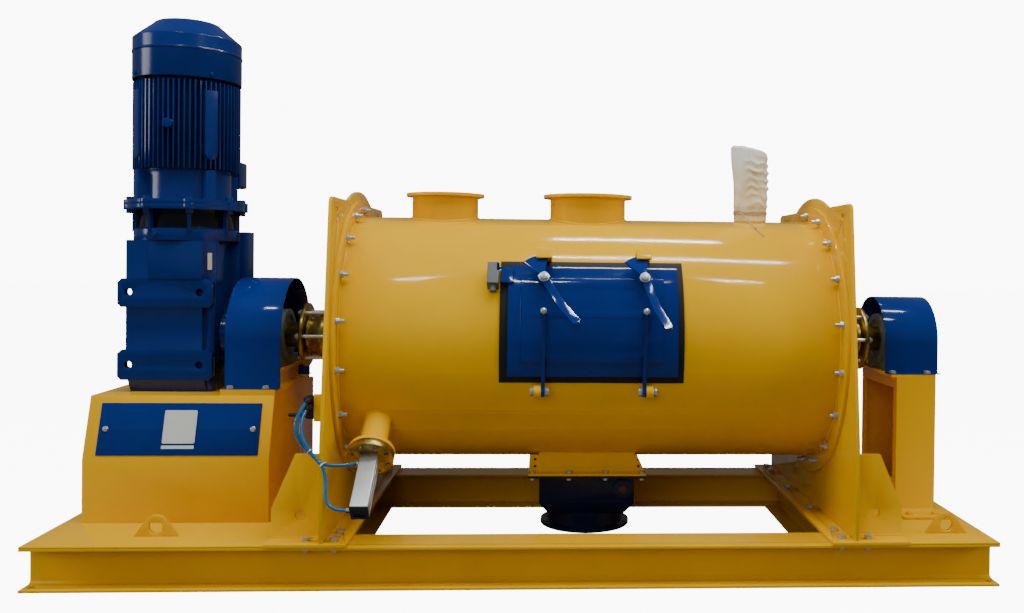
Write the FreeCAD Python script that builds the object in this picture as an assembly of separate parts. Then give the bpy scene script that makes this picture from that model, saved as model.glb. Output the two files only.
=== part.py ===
import FreeCAD, Part
import math
import os

V = FreeCAD.Vector
os.makedirs("parts", exist_ok=True)

# Base frame of rolled wide-flange beams
frame_length = 3000.0
frame_width = 1100.0
beam_height = 133.0
beam_width = 140.0
flange_thickness = 8.5
web_thickness = 5.5
root_radius = 12.0
deck_thickness = 6.0
anchor_inset = 25.0
anchor_radius = 11.0
bolt_gauge = 40.0

# Mixing drum, lying along X
axis_height = 735.0
drum_radius = 424.0
shell_thickness = 6.0
drum_left = -605.0
drum_length = 1640.0
ring_radius = 482.0
ring_thickness = 12.0
ring_bolt_circle = 447.5
ring_bolt_count = 18

# End plates that carry the drum
plate_thickness = 12.0
plate_top_half = 455.0
plate_foot_half = 552.0
plate_bend_height = 440.0
plate_top = 1187.0
hump_radius = 513.0
foot_outer = 163.0
foot_inner = 71.0
foot_thickness = 12.0
gusset_thickness = 12.0
shaft_hole_radius = 60.0

# Rotor
journal_radius = 45.0
shaft_body_radius = 70.0
running_gap = 0.05
wall_gap = 8.0
plough_count = 6

# Bearings, gland and guards
bearing_width = 100.0
bearing_reach = 236.0
bearing_radius = 92.0
bearing_height = 112.0
bearing_foot_half = 146.0
gland_length = 178.0
gland_radius = 114.0
gland_stud_circle = 92.0
gland_stud_radius = 6.0
guard_thickness = 3.0

# Drive
drive_axis_x = -1216.0
stand_top = 547.0
motor_radius = 180.0

# Door in the front of the shell, angles measured up from the horizontal
door_left = -58.0
door_right = 490.0
door_low = -12.6
door_high = 35.6
seal_border = 26.0
seal_thickness = 6.0
leaf_thickness = 8.0
pan_thickness = 6.0
clamp_angle = 27.4
clamp_xs = (57.0, 380.0)
clamp_height = 482.0
hinge_angle = -18.0
hinge_radius = 460.0

# Bottom discharge
discharge_x = 212.0
chute_width = 330.0
chute_flange_width = 406.0
flap_hinge_x = discharge_x + 126.0
flap_hinge_z = 216.0

# Sampler, pointing down and forwards
sampler_x = -478.0
sampler_angle = 36.5
sampler_tube_radius = 44.5
sampler_bore_radius = 38.5

# Derived places
drum_right = drum_left + drum_length
plate_left_out = drum_left - plate_thickness
plate_right_out = drum_right + plate_thickness
half_length = frame_length / 2
half_width = frame_width / 2
side_web_y = half_width - beam_width / 2
foot_top = beam_height + foot_thickness
deck_top = beam_height + deck_thickness
inner_radius = drum_radius - shell_thickness
bearing_left_face = plate_left_out - bearing_reach
bearing_right_face = plate_right_out + bearing_reach
seat_height = axis_height - bearing_height
O = V(0, 0, axis_height)


def box(x0, x1, y0, y1, z0, z1):
    return Part.makeBox(x1 - x0, y1 - y0, z1 - z0, V(x0, y0, z0))


def rod_x(radius, x0, x1, y=0.0, z=axis_height):
    return Part.makeCylinder(radius, x1 - x0, V(x0, y, z), V(1, 0, 0))


def rod_y(radius, y0, y1, x, z):
    return Part.makeCylinder(radius, y1 - y0, V(x, y0, z), V(0, 1, 0))


def rod_z(radius, z0, z1, x, y):
    return Part.makeCylinder(radius, z1 - z0, V(x, y, z0), V(0, 0, 1))


def prism(points, push):
    wire = Part.makePolygon(points + [points[0]])
    return Part.Face(wire).extrude(push)


def slab_yz(points, x0, x1):
    return prism([V(x0, y, z) for y, z in points], V(x1 - x0, 0, 0))


def slab_xz(points, y0, y1):
    return prism([V(x, y0, z) for x, z in points], V(0, y1 - y0, 0))


def fuse(shapes):
    whole = shapes[0].multiFuse(shapes[1:]) if len(shapes) > 1 else shapes[0]
    return whole.removeSplitter()


def cut(shape, tools):
    for tool in tools:
        shape = shape.cut(tool)
    return shape


def turn(shape, centre, axis, degrees):
    copy = shape.copy()
    copy.rotate(centre, axis, degrees)
    return copy


def raised(shape, elevation):
    return turn(shape, O, V(-1, 0, 0), elevation)


def mirrored_y(shape):
    return shape.mirror(V(0, 0, 0), V(0, 1, 0))


def moved(shape, dx, dy, dz):
    copy = shape.copy()
    copy.translate(V(dx, dy, dz))
    return copy


def shell_sector(r0, r1, low, high, x0, x1):
    points = [V(x0, -r0, axis_height), V(x1, -r0, axis_height),
              V(x1, -r1, axis_height), V(x0, -r1, axis_height)]
    face = Part.Face(Part.makePolygon(points + [points[0]]))
    face.rotate(O, V(-1, 0, 0), low)
    return face.revolve(O, V(-1, 0, 0), high - low)


def hexagon(across, centre, axis, height):
    flat = across / 2 / math.cos(math.pi / 6)
    side = V(0, 0, 1) if abs(axis.z) < 0.9 else V(1, 0, 0)
    side = side - axis * side.dot(axis)
    side.normalize()
    other = axis.cross(side)
    points = []
    for step in range(6):
        angle = step * math.pi / 3
        points.append(centre + side * (flat * math.cos(angle)) + other * (flat * math.sin(angle)))
    return prism(points, axis * height)


def bolt(centre, axis, across, head, shank_radius, shank, nut):
    pieces = [hexagon(across, centre, axis, head)]
    pieces.append(Part.makeCylinder(shank_radius, shank + nut, centre, axis * -1))
    if nut > 0:
        pieces.append(hexagon(across, centre - axis * shank, axis * -1, nut * 0.8))
    return fuse(pieces)


def i_beam(length):
    half = beam_width / 2
    web = web_thickness / 2
    top = beam_height
    points = [V(0, -half, 0), V(0, half, 0), V(0, half, flange_thickness), V(0, web, flange_thickness),
              V(0, web, top - flange_thickness), V(0, half, top - flange_thickness), V(0, half, top),
              V(0, -half, top), V(0, -half, top - flange_thickness), V(0, -web, top - flange_thickness),
              V(0, -web, flange_thickness), V(0, -half, flange_thickness)]
    beam = prism(points, V(length, 0, 0))
    roots = []
    for edge in beam.Edges:
        mid = edge.CenterOfMass
        inner = abs(abs(mid.y) - web) < 0.01 and abs(mid.x - length / 2) < 0.01
        if inner and flange_thickness - 0.1 < mid.z < top - flange_thickness + 0.1:
            if min(mid.z - flange_thickness, top - flange_thickness - mid.z) < 0.1:
                roots.append(edge)
    return beam.makeFillet(root_radius, roots)


def foot_bolt_places():
    places = []
    for centre_x in cross_beam_xs:
        for dx in (-foot_bolt_gauge, foot_bolt_gauge):
            for y in foot_bolt_ys:
                places.append((centre_x + dx, y))
                places.append((centre_x + dx, -y))
    return places


cross_beam_xs = (plate_left_out - 3.0, plate_right_out)
foot_bolt_gauge = 42.5
foot_bolt_ys = (150.0, side_web_y - 50.0, side_web_y + 32.0)
foot_bolt_radius = 8.0
bolt_clearance = 0.75


def side_beam(side):
    beam = moved(i_beam(frame_length), -half_length, side * side_web_y, 0)
    holes = []
    for x in (-half_length + anchor_inset, half_length - anchor_inset):
        holes.append(rod_z(anchor_radius, -1, flange_thickness + 1, x, side * (side_web_y + bolt_gauge)))
    for x, y in foot_bolt_places():
        if y * side > side_web_y - beam_width / 2:
            holes.append(rod_z(foot_bolt_radius + bolt_clearance, beam_height - 20, beam_height + 1, x, y))
    return cut(beam, holes)


def cross_beam(centre_x):
    reach = side_web_y - beam_width / 2
    beam = turn(i_beam(2 * reach), V(0, 0, 0), V(0, 0, 1), 90)
    beam = moved(beam, centre_x, -reach, 0)
    low = flange_thickness + root_radius + 0.5
    web_reach = side_web_y - web_thickness / 2
    web = box(centre_x - web_thickness / 2, centre_x + web_thickness / 2,
              -web_reach, web_reach, low, beam_height - low)
    beam = fuse([beam, web])
    holes = []
    for x, y in foot_bolt_places():
        if abs(y) < reach and abs(x - centre_x) < beam_width / 2:
            holes.append(rod_z(foot_bolt_radius + bolt_clearance, beam_height - 20, beam_height + 1, x, y))
    return cut(beam, holes)


def base_cross_beams():
    end_x = half_length - beam_width / 2
    return [cross_beam(-end_x), cross_beam(cross_beam_xs[0]), cross_beam(cross_beam_xs[1]), cross_beam(end_x)]


def deck_plates():
    left_end = plate_left_out - foot_outer - 1
    right_start = plate_right_out + foot_outer + 1
    left = box(-half_length, left_end, -half_width, half_width, beam_height, deck_top)
    right = box(right_start, half_length, -half_width, half_width, beam_height, deck_top)
    return [left, right]


lug_base = 134.0
lug_height = 67.0
lug_hole_radius = 21.0
lug_thickness = 15.0
lug_places = ((-1141.0, -440.0), (1370.0, -440.0), (-1141.0, 440.0), (1370.0, 440.0))


def lifting_lugs():
    lugs = []
    for x, y in lug_places:
        top_radius = 38.0
        hole_z = deck_top + lug_height - top_radius
        y0 = y - lug_thickness / 2
        y1 = y + lug_thickness / 2
        wedge = slab_xz([(x - lug_base / 2, deck_top), (x + lug_base / 2, deck_top),
                         (x + top_radius * 0.83, hole_z + top_radius * 0.55),
                         (x - top_radius * 0.83, hole_z + top_radius * 0.55)], y0, y1)
        lug = fuse([wedge, rod_y(top_radius, y0, y1, x, hole_z)])
        lug = lug.common(box(x - lug_base, x + lug_base, y0 - 1, y1 + 1, deck_top, deck_top + 2 * lug_base))
        lugs.append(lug.cut(rod_y(lug_hole_radius, y0 - 1, y1 + 1, x, hole_z)))
    return lugs


stand_left = -1438.0
stand_right = -839.0
stand_half = 295.0
stand_knee = 345.0
stand_top_front = -235.0
stand_plate = 8.0


def drive_stand():
    outer = slab_yz([(-stand_half, deck_top), (-stand_half, stand_knee), (stand_top_front, stand_top),
                     (stand_half, stand_top), (stand_half, deck_top)], stand_left, stand_right)
    t = stand_plate
    inner = slab_yz([(-stand_half + t, deck_top), (-stand_half + t, stand_knee),
                     (stand_top_front + t * 0.8, stand_top - t), (stand_half - t, stand_top - t),
                     (stand_half - t, deck_top)], stand_left + t, stand_right - t)
    support_base = box(-1020, stand_right, -232, 232, stand_top, stand_top + 20)
    column = box(bearing_left_face - bearing_width - 8, bearing_left_face - 10, -160, 160,
                 stand_top + 10, seat_height)
    seat = box(bearing_left_face - bearing_width - 16, bearing_left_face - 4, -190, 190,
               seat_height - 16, seat_height)
    return fuse([outer.cut(inner), support_base, column, seat])


panel_thickness = 3.0


def stand_slope(shape):
    slope = math.degrees(math.atan2(stand_top_front + stand_half, stand_top - stand_knee))
    return turn(shape, V(0, -stand_half, stand_knee), V(1, 0, 0), -slope)


def stand_cover():
    slope_length = math.hypot(stand_top - stand_knee, stand_top_front + stand_half)
    x0 = stand_left + 42
    x1 = stand_right - 37
    panel = box(x0, x1, -stand_half - panel_thickness, -stand_half, stand_knee + 14,
                stand_knee + slope_length - 25)
    screws = []
    for x in (x0 + 22, x1 - 22):
        screws.append(rod_y(8, -stand_half - panel_thickness - 4, -stand_half - panel_thickness, x,
                            stand_knee + 100))
    return stand_slope(fuse([panel] + screws))


adapter_radius = 172.0
gear_left = -1361.0
gear_right = -1107.0
gear_half = 155.0
gear_top = 1065.0
gear_lug_holes = ((-1352.0, 640.0), (-1115.0, 640.0), (-1352.0, 888.0), (-1115.0, 888.0))
gear_shaft_radius = 35.0


def gear_face():
    front = -gear_half
    sheet = box(gear_left, gear_right, front, front + 30, stand_top + 44, gear_top)
    upper = slab_xz([(-1376, 836), (-1388, 848), (-1388, 920), (-1374, 934), (-1090, 934), (-1072, 920),
                     (-1072, 848), (-1084, 836)], front - 4, front + 26)
    lower = slab_xz([(-1376, 588), (-1388, 600), (-1388, 678), (-1374, 691), (-1090, 691), (-1072, 678),
                     (-1072, 600), (-1084, 588)], front - 4, front + 26)
    pad = box(-1284, gear_right, front - 7, front, 934, gear_top - 4)
    face = fuse([sheet, upper, lower, pad])
    return cut(face, [rod_y(13, front - 10, front + 60, x, z) for x, z in gear_lug_holes])


rear_case_base = axis_height + 128.0
rear_case_top = gear_top + 36.0


def rear_case():
    case = box(-1110, -1022, 62, gear_half - 12, rear_case_base, rear_case_top)
    uprights = [edge for edge in case.Edges if abs(edge.Length - (rear_case_top - rear_case_base)) < 1]
    case = case.makeFillet(9, uprights)
    rib = box(-1100, -1046, 40, 74, rear_case_base, gear_top - 8)
    return fuse([case, rib]).cut(rod_z(adapter_radius + 6, gear_top, rear_case_top + 1, drive_axis_x, 0))


gear_corner_x = -1079.0
gear_corner_y = -100.0


def gear_corner(outside):
    # a slant from the front face back to the right hand side, above the bolting flanges
    side = gear_corner_x + 40 if outside else gear_right - 10
    points = [V(side, -gear_half - 8, 936), V(gear_right, -gear_half - 8, 936),
              V(gear_right, -gear_half, 936),
              V(gear_corner_x, gear_corner_y, 936), V(side, gear_corner_y, 936)]
    if not outside:
        points = [V(side, -gear_half, 936)] + points[2:]
    return prism(points, V(0, 0, gear_top - 936))


def gearbox_housing():
    depth = gear_half - 25
    body = slab_xz([(-1325, stand_top), (-1075, stand_top), (-1075, gear_top), (-1325, gear_top)], -depth,
                   depth)
    corners = [edge for edge in body.Edges if abs(edge.Length - (gear_top - stand_top)) < 1]
    body = body.makeFillet(24, corners)
    foot = box(-1355, -1080, -gear_half + 26, gear_half - 26, stand_top, stand_top + 30)
    sole = slab_yz([(-gear_half + 26, stand_top), (-gear_half, stand_top + 44), (gear_half, stand_top + 44),
                    (gear_half - 26, stand_top)], gear_left + 6, gear_right + 8)
    cap = rod_x(80, -1080, -1055)
    collar = rod_x(62, -1060, -1050)
    whole = fuse([body, foot, sole, gear_face(), mirrored_y(gear_face()), cap, collar, rear_case()])
    whole = fuse([whole, gear_corner(False)]).cut(gear_corner(True))
    return whole.cut(rod_x(gear_shaft_radius + running_gap, -1200, -1040))


adapter_top = gear_top + 123.0
motor_flange_radius = 194.0
motor_flange_thickness = 17.0
motor_flange_bolts = 8
shield_top = adapter_top + 117.0
frame_top = shield_top + 325.0
cowl_lip = frame_top - 8.0
cowl_shoulder = cowl_lip + 146.0
cowl_top = cowl_shoulder + 64.0
motor_shaft_radius = 24.0


def revolved(points, x, y):
    face = Part.Face(Part.makePolygon([V(x + r, y, z) for r, z in points + [points[0]]]))
    return face.revolve(V(x, y, 0), V(0, 0, 1), 360)


def motor_adapter():
    profile = [(0, gear_top), (adapter_radius, gear_top), (adapter_radius, gear_top + 38),
               (adapter_radius - 12, gear_top + 44),
               (adapter_radius - 22, adapter_top - motor_flange_thickness),
               (motor_flange_radius, adapter_top - motor_flange_thickness),
               (motor_flange_radius, adapter_top),
               (0, adapter_top)]
    body = revolved(profile, drive_axis_x, 0)
    ribs = []
    for step in range(8):
        rib = box(drive_axis_x + 110, drive_axis_x + adapter_radius + 4, -6, 6, gear_top + 30,
                  adapter_top - 8)
        ribs.append(turn(rib, V(drive_axis_x, 0, 0), V(0, 0, 1), 22.5 + 45 * step))
    for step in range(motor_flange_bolts):
        bolt_x = drive_axis_x + motor_flange_radius - 12
        ear = rod_z(22, adapter_top - motor_flange_thickness, adapter_top, bolt_x, 0)
        nut = hexagon(24, V(bolt_x, 0, adapter_top - motor_flange_thickness), V(0, 0, -1), 13)
        ribs.append(turn(fuse([ear, nut]), V(drive_axis_x, 0, 0), V(0, 0, 1), 22.5 + 45 * step))
    shaft_room = rod_z(motor_shaft_radius + 2, adapter_top - 72, adapter_top + 1, drive_axis_x, 0)
    return fuse([body] + ribs).cut(shaft_room)


bell_radius = 147.0


def motor_shield():
    bell = revolved([(0, adapter_top), (motor_flange_radius, adapter_top),
                     (motor_flange_radius, adapter_top + motor_flange_thickness),
                     (bell_radius, adapter_top + motor_flange_thickness), (bell_radius, shield_top),
                     (0, shield_top)],
                    drive_axis_x, 0)
    ribs = []
    for step in range(4):
        lug = box(drive_axis_x + 120, drive_axis_x + motor_radius, -17, 17, adapter_top + 4, shield_top)
        ribs.append(turn(lug, V(drive_axis_x, 0, 0), V(0, 0, 1), 45 + 90 * step))
    for step in range(motor_flange_bolts):
        ear = rod_z(22, adapter_top, adapter_top + motor_flange_thickness,
                    drive_axis_x + motor_flange_radius - 12, 0)
        head = hexagon(24, V(drive_axis_x + motor_flange_radius - 12, 0,
                             adapter_top + motor_flange_thickness),
                       V(0, 0, 1), 11)
        ribs.append(turn(fuse([ear, head]), V(drive_axis_x, 0, 0), V(0, 0, 1), 22.5 + 45 * step))
    shaft_bore = rod_z(motor_shaft_radius + running_gap, adapter_top - 1, shield_top + 1, drive_axis_x, 0)
    return fuse([bell] + ribs).cut(shaft_bore)


terminal_x = -1262.0
terminal_length = 168.0
terminal_y = motor_radius + 8.0
terminal_base = shield_top - 35.0
terminal_top = terminal_base + 100.0
fin_count = 64
fin_thickness = 5.0
fin_root = 138.0


def finned_ring():
    points = []
    for step in range(fin_count):
        middle = 2 * math.pi * step / fin_count
        for radius, side in ((fin_root, -1), (motor_radius - 3, -1), (motor_radius - 3, 1), (fin_root, 1)):
            angle = middle + side * fin_thickness / 2 / radius
            points.append(V(drive_axis_x + radius * math.cos(angle), radius * math.sin(angle),
                            shield_top + 6))
    return prism(points, V(0, 0, frame_top - 18 - shield_top - 6))


def motor_frame():
    core = rod_z(fin_root + 6, shield_top, frame_top, drive_axis_x, 0)
    pieces = [core, finned_ring()]
    for step in range(4):
        pad = box(drive_axis_x + 130, drive_axis_x + motor_radius, -22, 22, shield_top + 60, frame_top - 50)
        end = Part.makeCylinder(22, motor_radius - 130, V(drive_axis_x + 130, 0, shield_top + 60), V(1, 0, 0))
        pieces.append(turn(fuse([pad, end]), V(drive_axis_x, 0, 0), V(0, 0, 1), 45 + 90 * step))
    pieces.append(rod_y(16, -motor_radius - 8, -140, drive_axis_x, shield_top + 155))
    bore = rod_z(motor_shaft_radius + 1, shield_top - 1, frame_top - 20, drive_axis_x, 0)
    bearing = rod_z(motor_shaft_radius + running_gap, frame_top - 21, frame_top + 1, drive_axis_x, 0)
    neck_x = terminal_x + terminal_length / 2
    neck = box(neck_x - 60, neck_x + 20, motor_radius - 46, terminal_y, shield_top + 4, terminal_top - 6)
    return fuse(pieces + [neck]).cut(fuse([bore, bearing]))


def terminal_box():
    depth = 88.0
    body = box(terminal_x, terminal_x + terminal_length, terminal_y, terminal_y + depth, terminal_base,
               terminal_top)
    edges = [edge for edge in body.Edges if abs(edge.Length - depth) < 1]
    body = body.makeFillet(10, edges)
    glands = []
    for x in (terminal_x + 46, terminal_x + 112):
        glands.append(rod_z(14, terminal_base - 18, terminal_base + 2, x, terminal_y + depth / 2))
    return fuse([body] + glands)


def motor_cowl():
    sheet = 3.0
    outer = [(0, cowl_lip), (motor_radius, cowl_lip), (motor_radius, cowl_shoulder),
             (105, cowl_top), (0, cowl_top)]
    inner = [(0, cowl_lip - 1), (motor_radius - sheet, cowl_lip - 1),
             (motor_radius - sheet, cowl_shoulder - 2),
             (104, cowl_top - sheet), (0, cowl_top - sheet)]
    cowl = revolved(outer, drive_axis_x, 0).cut(revolved(inner, drive_axis_x, 0))
    seam = cowl_shoulder - 48
    bead = revolved([(motor_radius - 1, seam - 4), (motor_radius + 2, seam - 2), (motor_radius + 2, seam + 2),
                     (motor_radius - 1, seam + 4)], drive_axis_x, 0)
    ribs = []
    for step in range(4):
        leg = box(drive_axis_x + fin_root, drive_axis_x + motor_radius - sheet, -12, 12, cowl_lip, frame_top)
        ribs.append(turn(leg, V(drive_axis_x, 0, 0), V(0, 0, 1), 45 + 90 * step))
    slots = []
    for row, count in ((38, 8), (62, 12), (86, 16)):
        for step in range(count):
            slot = box(drive_axis_x + row - 8, drive_axis_x + row + 8, -5, 5, cowl_top - 8, cowl_top + 2)
            slots.append(turn(slot, V(drive_axis_x, 0, 0), V(0, 0, 1), 360.0 / count * step))
    cowl = fuse([cowl, bead] + ribs)
    return cowl.cut(rod_z(fin_root + 6, cowl_lip - 1, frame_top, drive_axis_x,
                          0)).cut(Part.makeCompound(slots))


def motor_shaft():
    return rod_z(motor_shaft_radius, adapter_top - 60, frame_top + 70, drive_axis_x, 0)


def motor_fan():
    base = frame_top + 12
    hub = rod_z(42, base, base + 50, drive_axis_x, 0)
    disc = rod_z(110, base, base + 5, drive_axis_x, 0)
    blades = []
    for step in range(8):
        blade = box(drive_axis_x + 36, drive_axis_x + 150, -3, 3, base + 2, base + 58)
        blades.append(turn(blade, V(drive_axis_x, 0, 0), V(0, 0, 1), 45 * step))
    fan = fuse([hub, disc] + blades)
    return fan.cut(rod_z(motor_shaft_radius, base - 1, base + 60, drive_axis_x, 0))


coupling_radius = 130.0
coupling_disc = 22.0
coupling_gap = 6.0
coupling_pin_radius = 11.0
coupling_left = -1040.0


def coupling_drive():
    shaft = rod_x(gear_shaft_radius, -1190, coupling_left + coupling_disc)
    disc = rod_x(coupling_radius, coupling_left, coupling_left + coupling_disc)
    pins = []
    for step in range(8):
        pin = rod_x(coupling_pin_radius, coupling_left + coupling_disc,
                    coupling_left + 2 * coupling_disc + coupling_gap - 2, 0,
                    axis_height + coupling_radius - 26)
        pins.append(turn(pin, O, V(1, 0, 0), 45 * step))
    return fuse([shaft, disc] + pins)


def coupling_driven():
    start = coupling_left + coupling_disc + coupling_gap
    disc = rod_x(coupling_radius, start, start + coupling_disc)
    hub = rod_x(68, start, bearing_left_face - bearing_width - 12)
    holes = [rod_x(journal_radius, start - 1, bearing_left_face)]
    for step in range(8):
        hole = rod_x(coupling_pin_radius + 0.3, start - 1, start + coupling_disc + 1, 0,
                     axis_height + coupling_radius - 26)
        holes.append(turn(hole, O, V(1, 0, 0), 45 * step))
    return cut(fuse([disc, hub]), holes)


def bearing_housing(x0):
    x1 = x0 + bearing_width
    drum = rod_x(bearing_radius, x0, x1)
    middle = (x0 + x1) / 2
    half = bearing_foot_half
    base = box(middle - 42, middle + 42, -half, half, seat_height, seat_height + 32)
    neck = box(middle - 42, middle + 42, -bearing_radius + 4, bearing_radius - 4, seat_height, axis_height)
    split = box(x0 + 8, x1 - 8, -bearing_radius - 22, bearing_radius + 22, axis_height - 14, axis_height + 14)
    caps = []
    for y in (-bearing_radius - 10, bearing_radius + 10):
        caps.append(hexagon(24, V(middle - 22, y, axis_height + 14), V(0, 0, 1), 12))
        caps.append(hexagon(24, V(middle + 22, y, axis_height + 14), V(0, 0, 1), 12))
    for y in (-half + 22, half - 22):
        caps.append(hexagon(30, V(middle, y, seat_height + 32), V(0, 0, 1), 14))
    recess = [rod_x(bearing_radius - 22, x0 - 1, x0 + 6), rod_x(bearing_radius - 22, x1 - 6, x1 + 1)]
    house = cut(fuse([drum, base, neck, split] + caps), recess)
    return house.cut(rod_x(journal_radius + running_gap, x0 - 1, x1 + 1))


def guard(x0, x1, radius, base_z, skirt):
    inner = radius - guard_thickness
    arch = rod_x(radius, x0, x1).cut(rod_x(inner, x0 - 1, x1 + 1))
    arch = arch.common(box(x0, x1, -radius, radius, axis_height, axis_height + radius + 1))
    sides = [box(x0, x1, -radius, -inner, base_z, axis_height),
             box(x0, x1, inner, radius, base_z, axis_height)]
    feet = [box(x0, x1, -radius - skirt, -inner, base_z, base_z + guard_thickness),
            box(x0, x1, inner, radius + skirt, base_z, base_z + guard_thickness)]
    screws = []
    for x in (x0 + 22, x1 - 44):
        for side in (-1, 1):
            screws.append(hexagon(17, V(x, side * (radius + skirt / 2), base_z + guard_thickness), V(0, 0, 1),
                                  7))
    return fuse([arch] + sides + feet + screws)


def guard_left():
    return guard(-1014, -830, 203, stand_top + 20, 27)


post_left = 1300.0
post_right = 1440.0
post_half = 182.0


def guard_right():
    return guard(post_left - 33, post_right + 17, post_half - 27, seat_height, 28)


def bearing_stand():
    outer = box(post_left, post_right, -post_half, post_half, deck_top + 10, seat_height - 12)
    inner = box(post_left + 10, post_right - 10, -post_half + 10, post_half - 10, deck_top + 10,
                seat_height - 12)
    window = box(post_left - 1, post_left + 11, -post_half + 34, post_half - 34, deck_top + 110,
                 seat_height - 52)
    foot = box(post_left - 6, post_right + 8, -post_half - 104, post_half + 104, deck_top, deck_top + 10)
    top = box(post_left - 20, post_right, -post_half, post_half, seat_height - 12, seat_height)
    heads = []
    for x in (post_left + 24, post_right - 28):
        for y in (-post_half - 73, post_half + 73):
            heads.append(hexagon(24, V(x, y, deck_top + 10), V(0, 0, 1), 10))
    return fuse([cut(outer, [inner, window]), foot, top] + heads)


def outer_face(side):
    # side is -1 for the left plate and 1 for the right one, measured outwards from the drum
    return plate_left_out if side < 0 else plate_right_out


def end_plate(side):
    x0 = min(outer_face(side), outer_face(side) - side * plate_thickness)
    x1 = x0 + plate_thickness
    corner = 25.0
    outline = [(-plate_foot_half, foot_top), (-plate_foot_half, plate_bend_height),
               (-plate_top_half, plate_top), (-plate_top_half + corner * 0.3, plate_top + 12),
               (-plate_top_half + corner, plate_top + 18), (plate_top_half - corner, plate_top + 18),
               (plate_top_half - corner * 0.3, plate_top + 12), (plate_top_half, plate_top),
               (plate_foot_half, plate_bend_height), (plate_foot_half, foot_top)]
    sheet = slab_yz(outline, x0, x1)
    hump = rod_x(hump_radius, x0, x1).common(box(x0, x1, -260, 260, axis_height,
                                                 axis_height + hump_radius + 1))
    holes = [rod_x(shaft_hole_radius, x0 - 1, x1 + 1)]
    for y in (-375, 375):
        holes.append(rod_x(12.5, x0 - 1, x1 + 1, y, 1165))
    return cut(fuse([sheet, hump]), holes)


def end_plate_left():
    tab = box(valve_x + 14, plate_left_out, valve_plane - 3, valve_plane, valve_z - 36, valve_z + 50)
    return fuse([end_plate(-1), tab])


def plate_foot(side):
    face = outer_face(side)
    edges = (face + side * foot_outer, face - side * (plate_thickness + foot_inner))
    foot = box(min(edges), max(edges), -half_width - 8, half_width + 8, beam_height, foot_top)
    pieces = [foot]
    for y in (-side_web_y - gusset_thickness / 2, side_web_y - gusset_thickness / 2):
        far = face + side * (foot_outer - 3)
        top = face + side * 88
        points = [(face, foot_top), (far, foot_top), (far, 235), (top, 404), (face, 404)]
        gusset = slab_xz(points, y, y + gusset_thickness)
        pieces.append(gusset.cut(rod_y(17, y - 1, y + gusset_thickness + 1, face + side * 71, 215)))
    holes = []
    for x, y in foot_bolt_places():
        if min(edges) < x < max(edges):
            holes.append(rod_z(foot_bolt_radius + bolt_clearance, beam_height - 1, foot_top + 1, x, y))
    return cut(fuse(pieces), holes)


def foot_bolts():
    group = []
    for x, y in foot_bolt_places():
        group.append(bolt(V(x, y, foot_top), V(0, 0, 1), 24, 10, foot_bolt_radius,
                          foot_thickness + flange_thickness, 16))
    return group


inlets = ((-302.0, 139.0, 117.5, 1245.0), (212.0, 161.0, 136.0, 1246.0))
vent_x = 809.0
vent_radius = 54.0
vent_top = 1204.0
opening_margin = 20.0


def door_opening():
    low = door_low + 2.6
    high = door_high - 2.6
    return shell_sector(inner_radius - 20, drum_radius + 30, low, high,
                        door_left + opening_margin, door_right - opening_margin)


def flap_opening():
    return box(discharge_x - 100, discharge_x + 100, -111, 111, axis_height - drum_radius - 30,
               axis_height - 200)


def sampler_frame(shape):
    return turn(shape, O, V(1, 0, 0), sampler_angle)


def drum_shell():
    body = rod_x(drum_radius, drum_left + ring_thickness, drum_right - ring_thickness)
    body = body.cut(rod_x(inner_radius, drum_left, drum_right))
    tools = [door_opening(), flap_opening()]
    for x, flange, neck, top in inlets:
        tools.append(rod_z(neck, axis_height, top, x, 0))
    tools.append(rod_z(vent_radius, axis_height, vent_top, vent_x, 0))
    tools.append(sampler_frame(rod_y(sampler_tube_radius, -drum_radius - 60, 0, sampler_x, axis_height)))
    return cut(body, tools)


def drum_rings():
    rings = []
    for x0 in (drum_left, drum_right - ring_thickness):
        rings.append(rod_x(ring_radius, x0,
                           x0 + ring_thickness).cut(rod_x(inner_radius, x0 - 1, x0 + ring_thickness + 1)))
    return rings


def drum_bolts():
    group = []
    for face, direction in ((drum_left + ring_thickness, 1), (drum_right - ring_thickness, -1)):
        axis = V(direction, 0, 0)
        for step in range(ring_bolt_count):
            seat = V(face, 0, axis_height + ring_bolt_circle)
            washer = Part.makeCylinder(12, 2.5, seat, axis)
            thread = Part.makeCylinder(6, 26, seat, axis)
            one = fuse([washer, hexagon(19, seat, axis, 12), thread])
            group.append(turn(one, O, V(1, 0, 0), 360.0 / ring_bolt_count * step))
    return group


def inlet(index):
    x, flange, neck, top = inlets[index]
    thickness = 12.0
    tube = rod_z(neck, axis_height + 300, top, x, 0)
    tube = tube.cut(rod_z(neck - 6, axis_height + 299, top + 1, x, 0)).cut(rod_x(inner_radius, x - 200,
                                                                                 x + 200))
    ring = rod_z(flange, top - thickness, top, x, 0).cut(rod_z(neck - 6, top - thickness - 1, top + 1, x, 0))
    holes = []
    for step in range(8):
        angle = math.pi / 8 + step * math.pi / 4
        middle = (flange + neck) / 2
        holes.append(rod_z(5, top - thickness - 1, top + 1, x + middle * math.cos(angle),
                           middle * math.sin(angle)))
    return cut(fuse([tube, ring]), holes)


def vent_spigot():
    tube = rod_z(vent_radius, axis_height + 300, vent_top, vent_x, 0)
    return tube.cut(rod_z(vent_radius - 4, axis_height + 299, vent_top + 1, vent_x, 0)).cut(
        rod_x(inner_radius, vent_x - 100, vent_x + 100))


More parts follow.
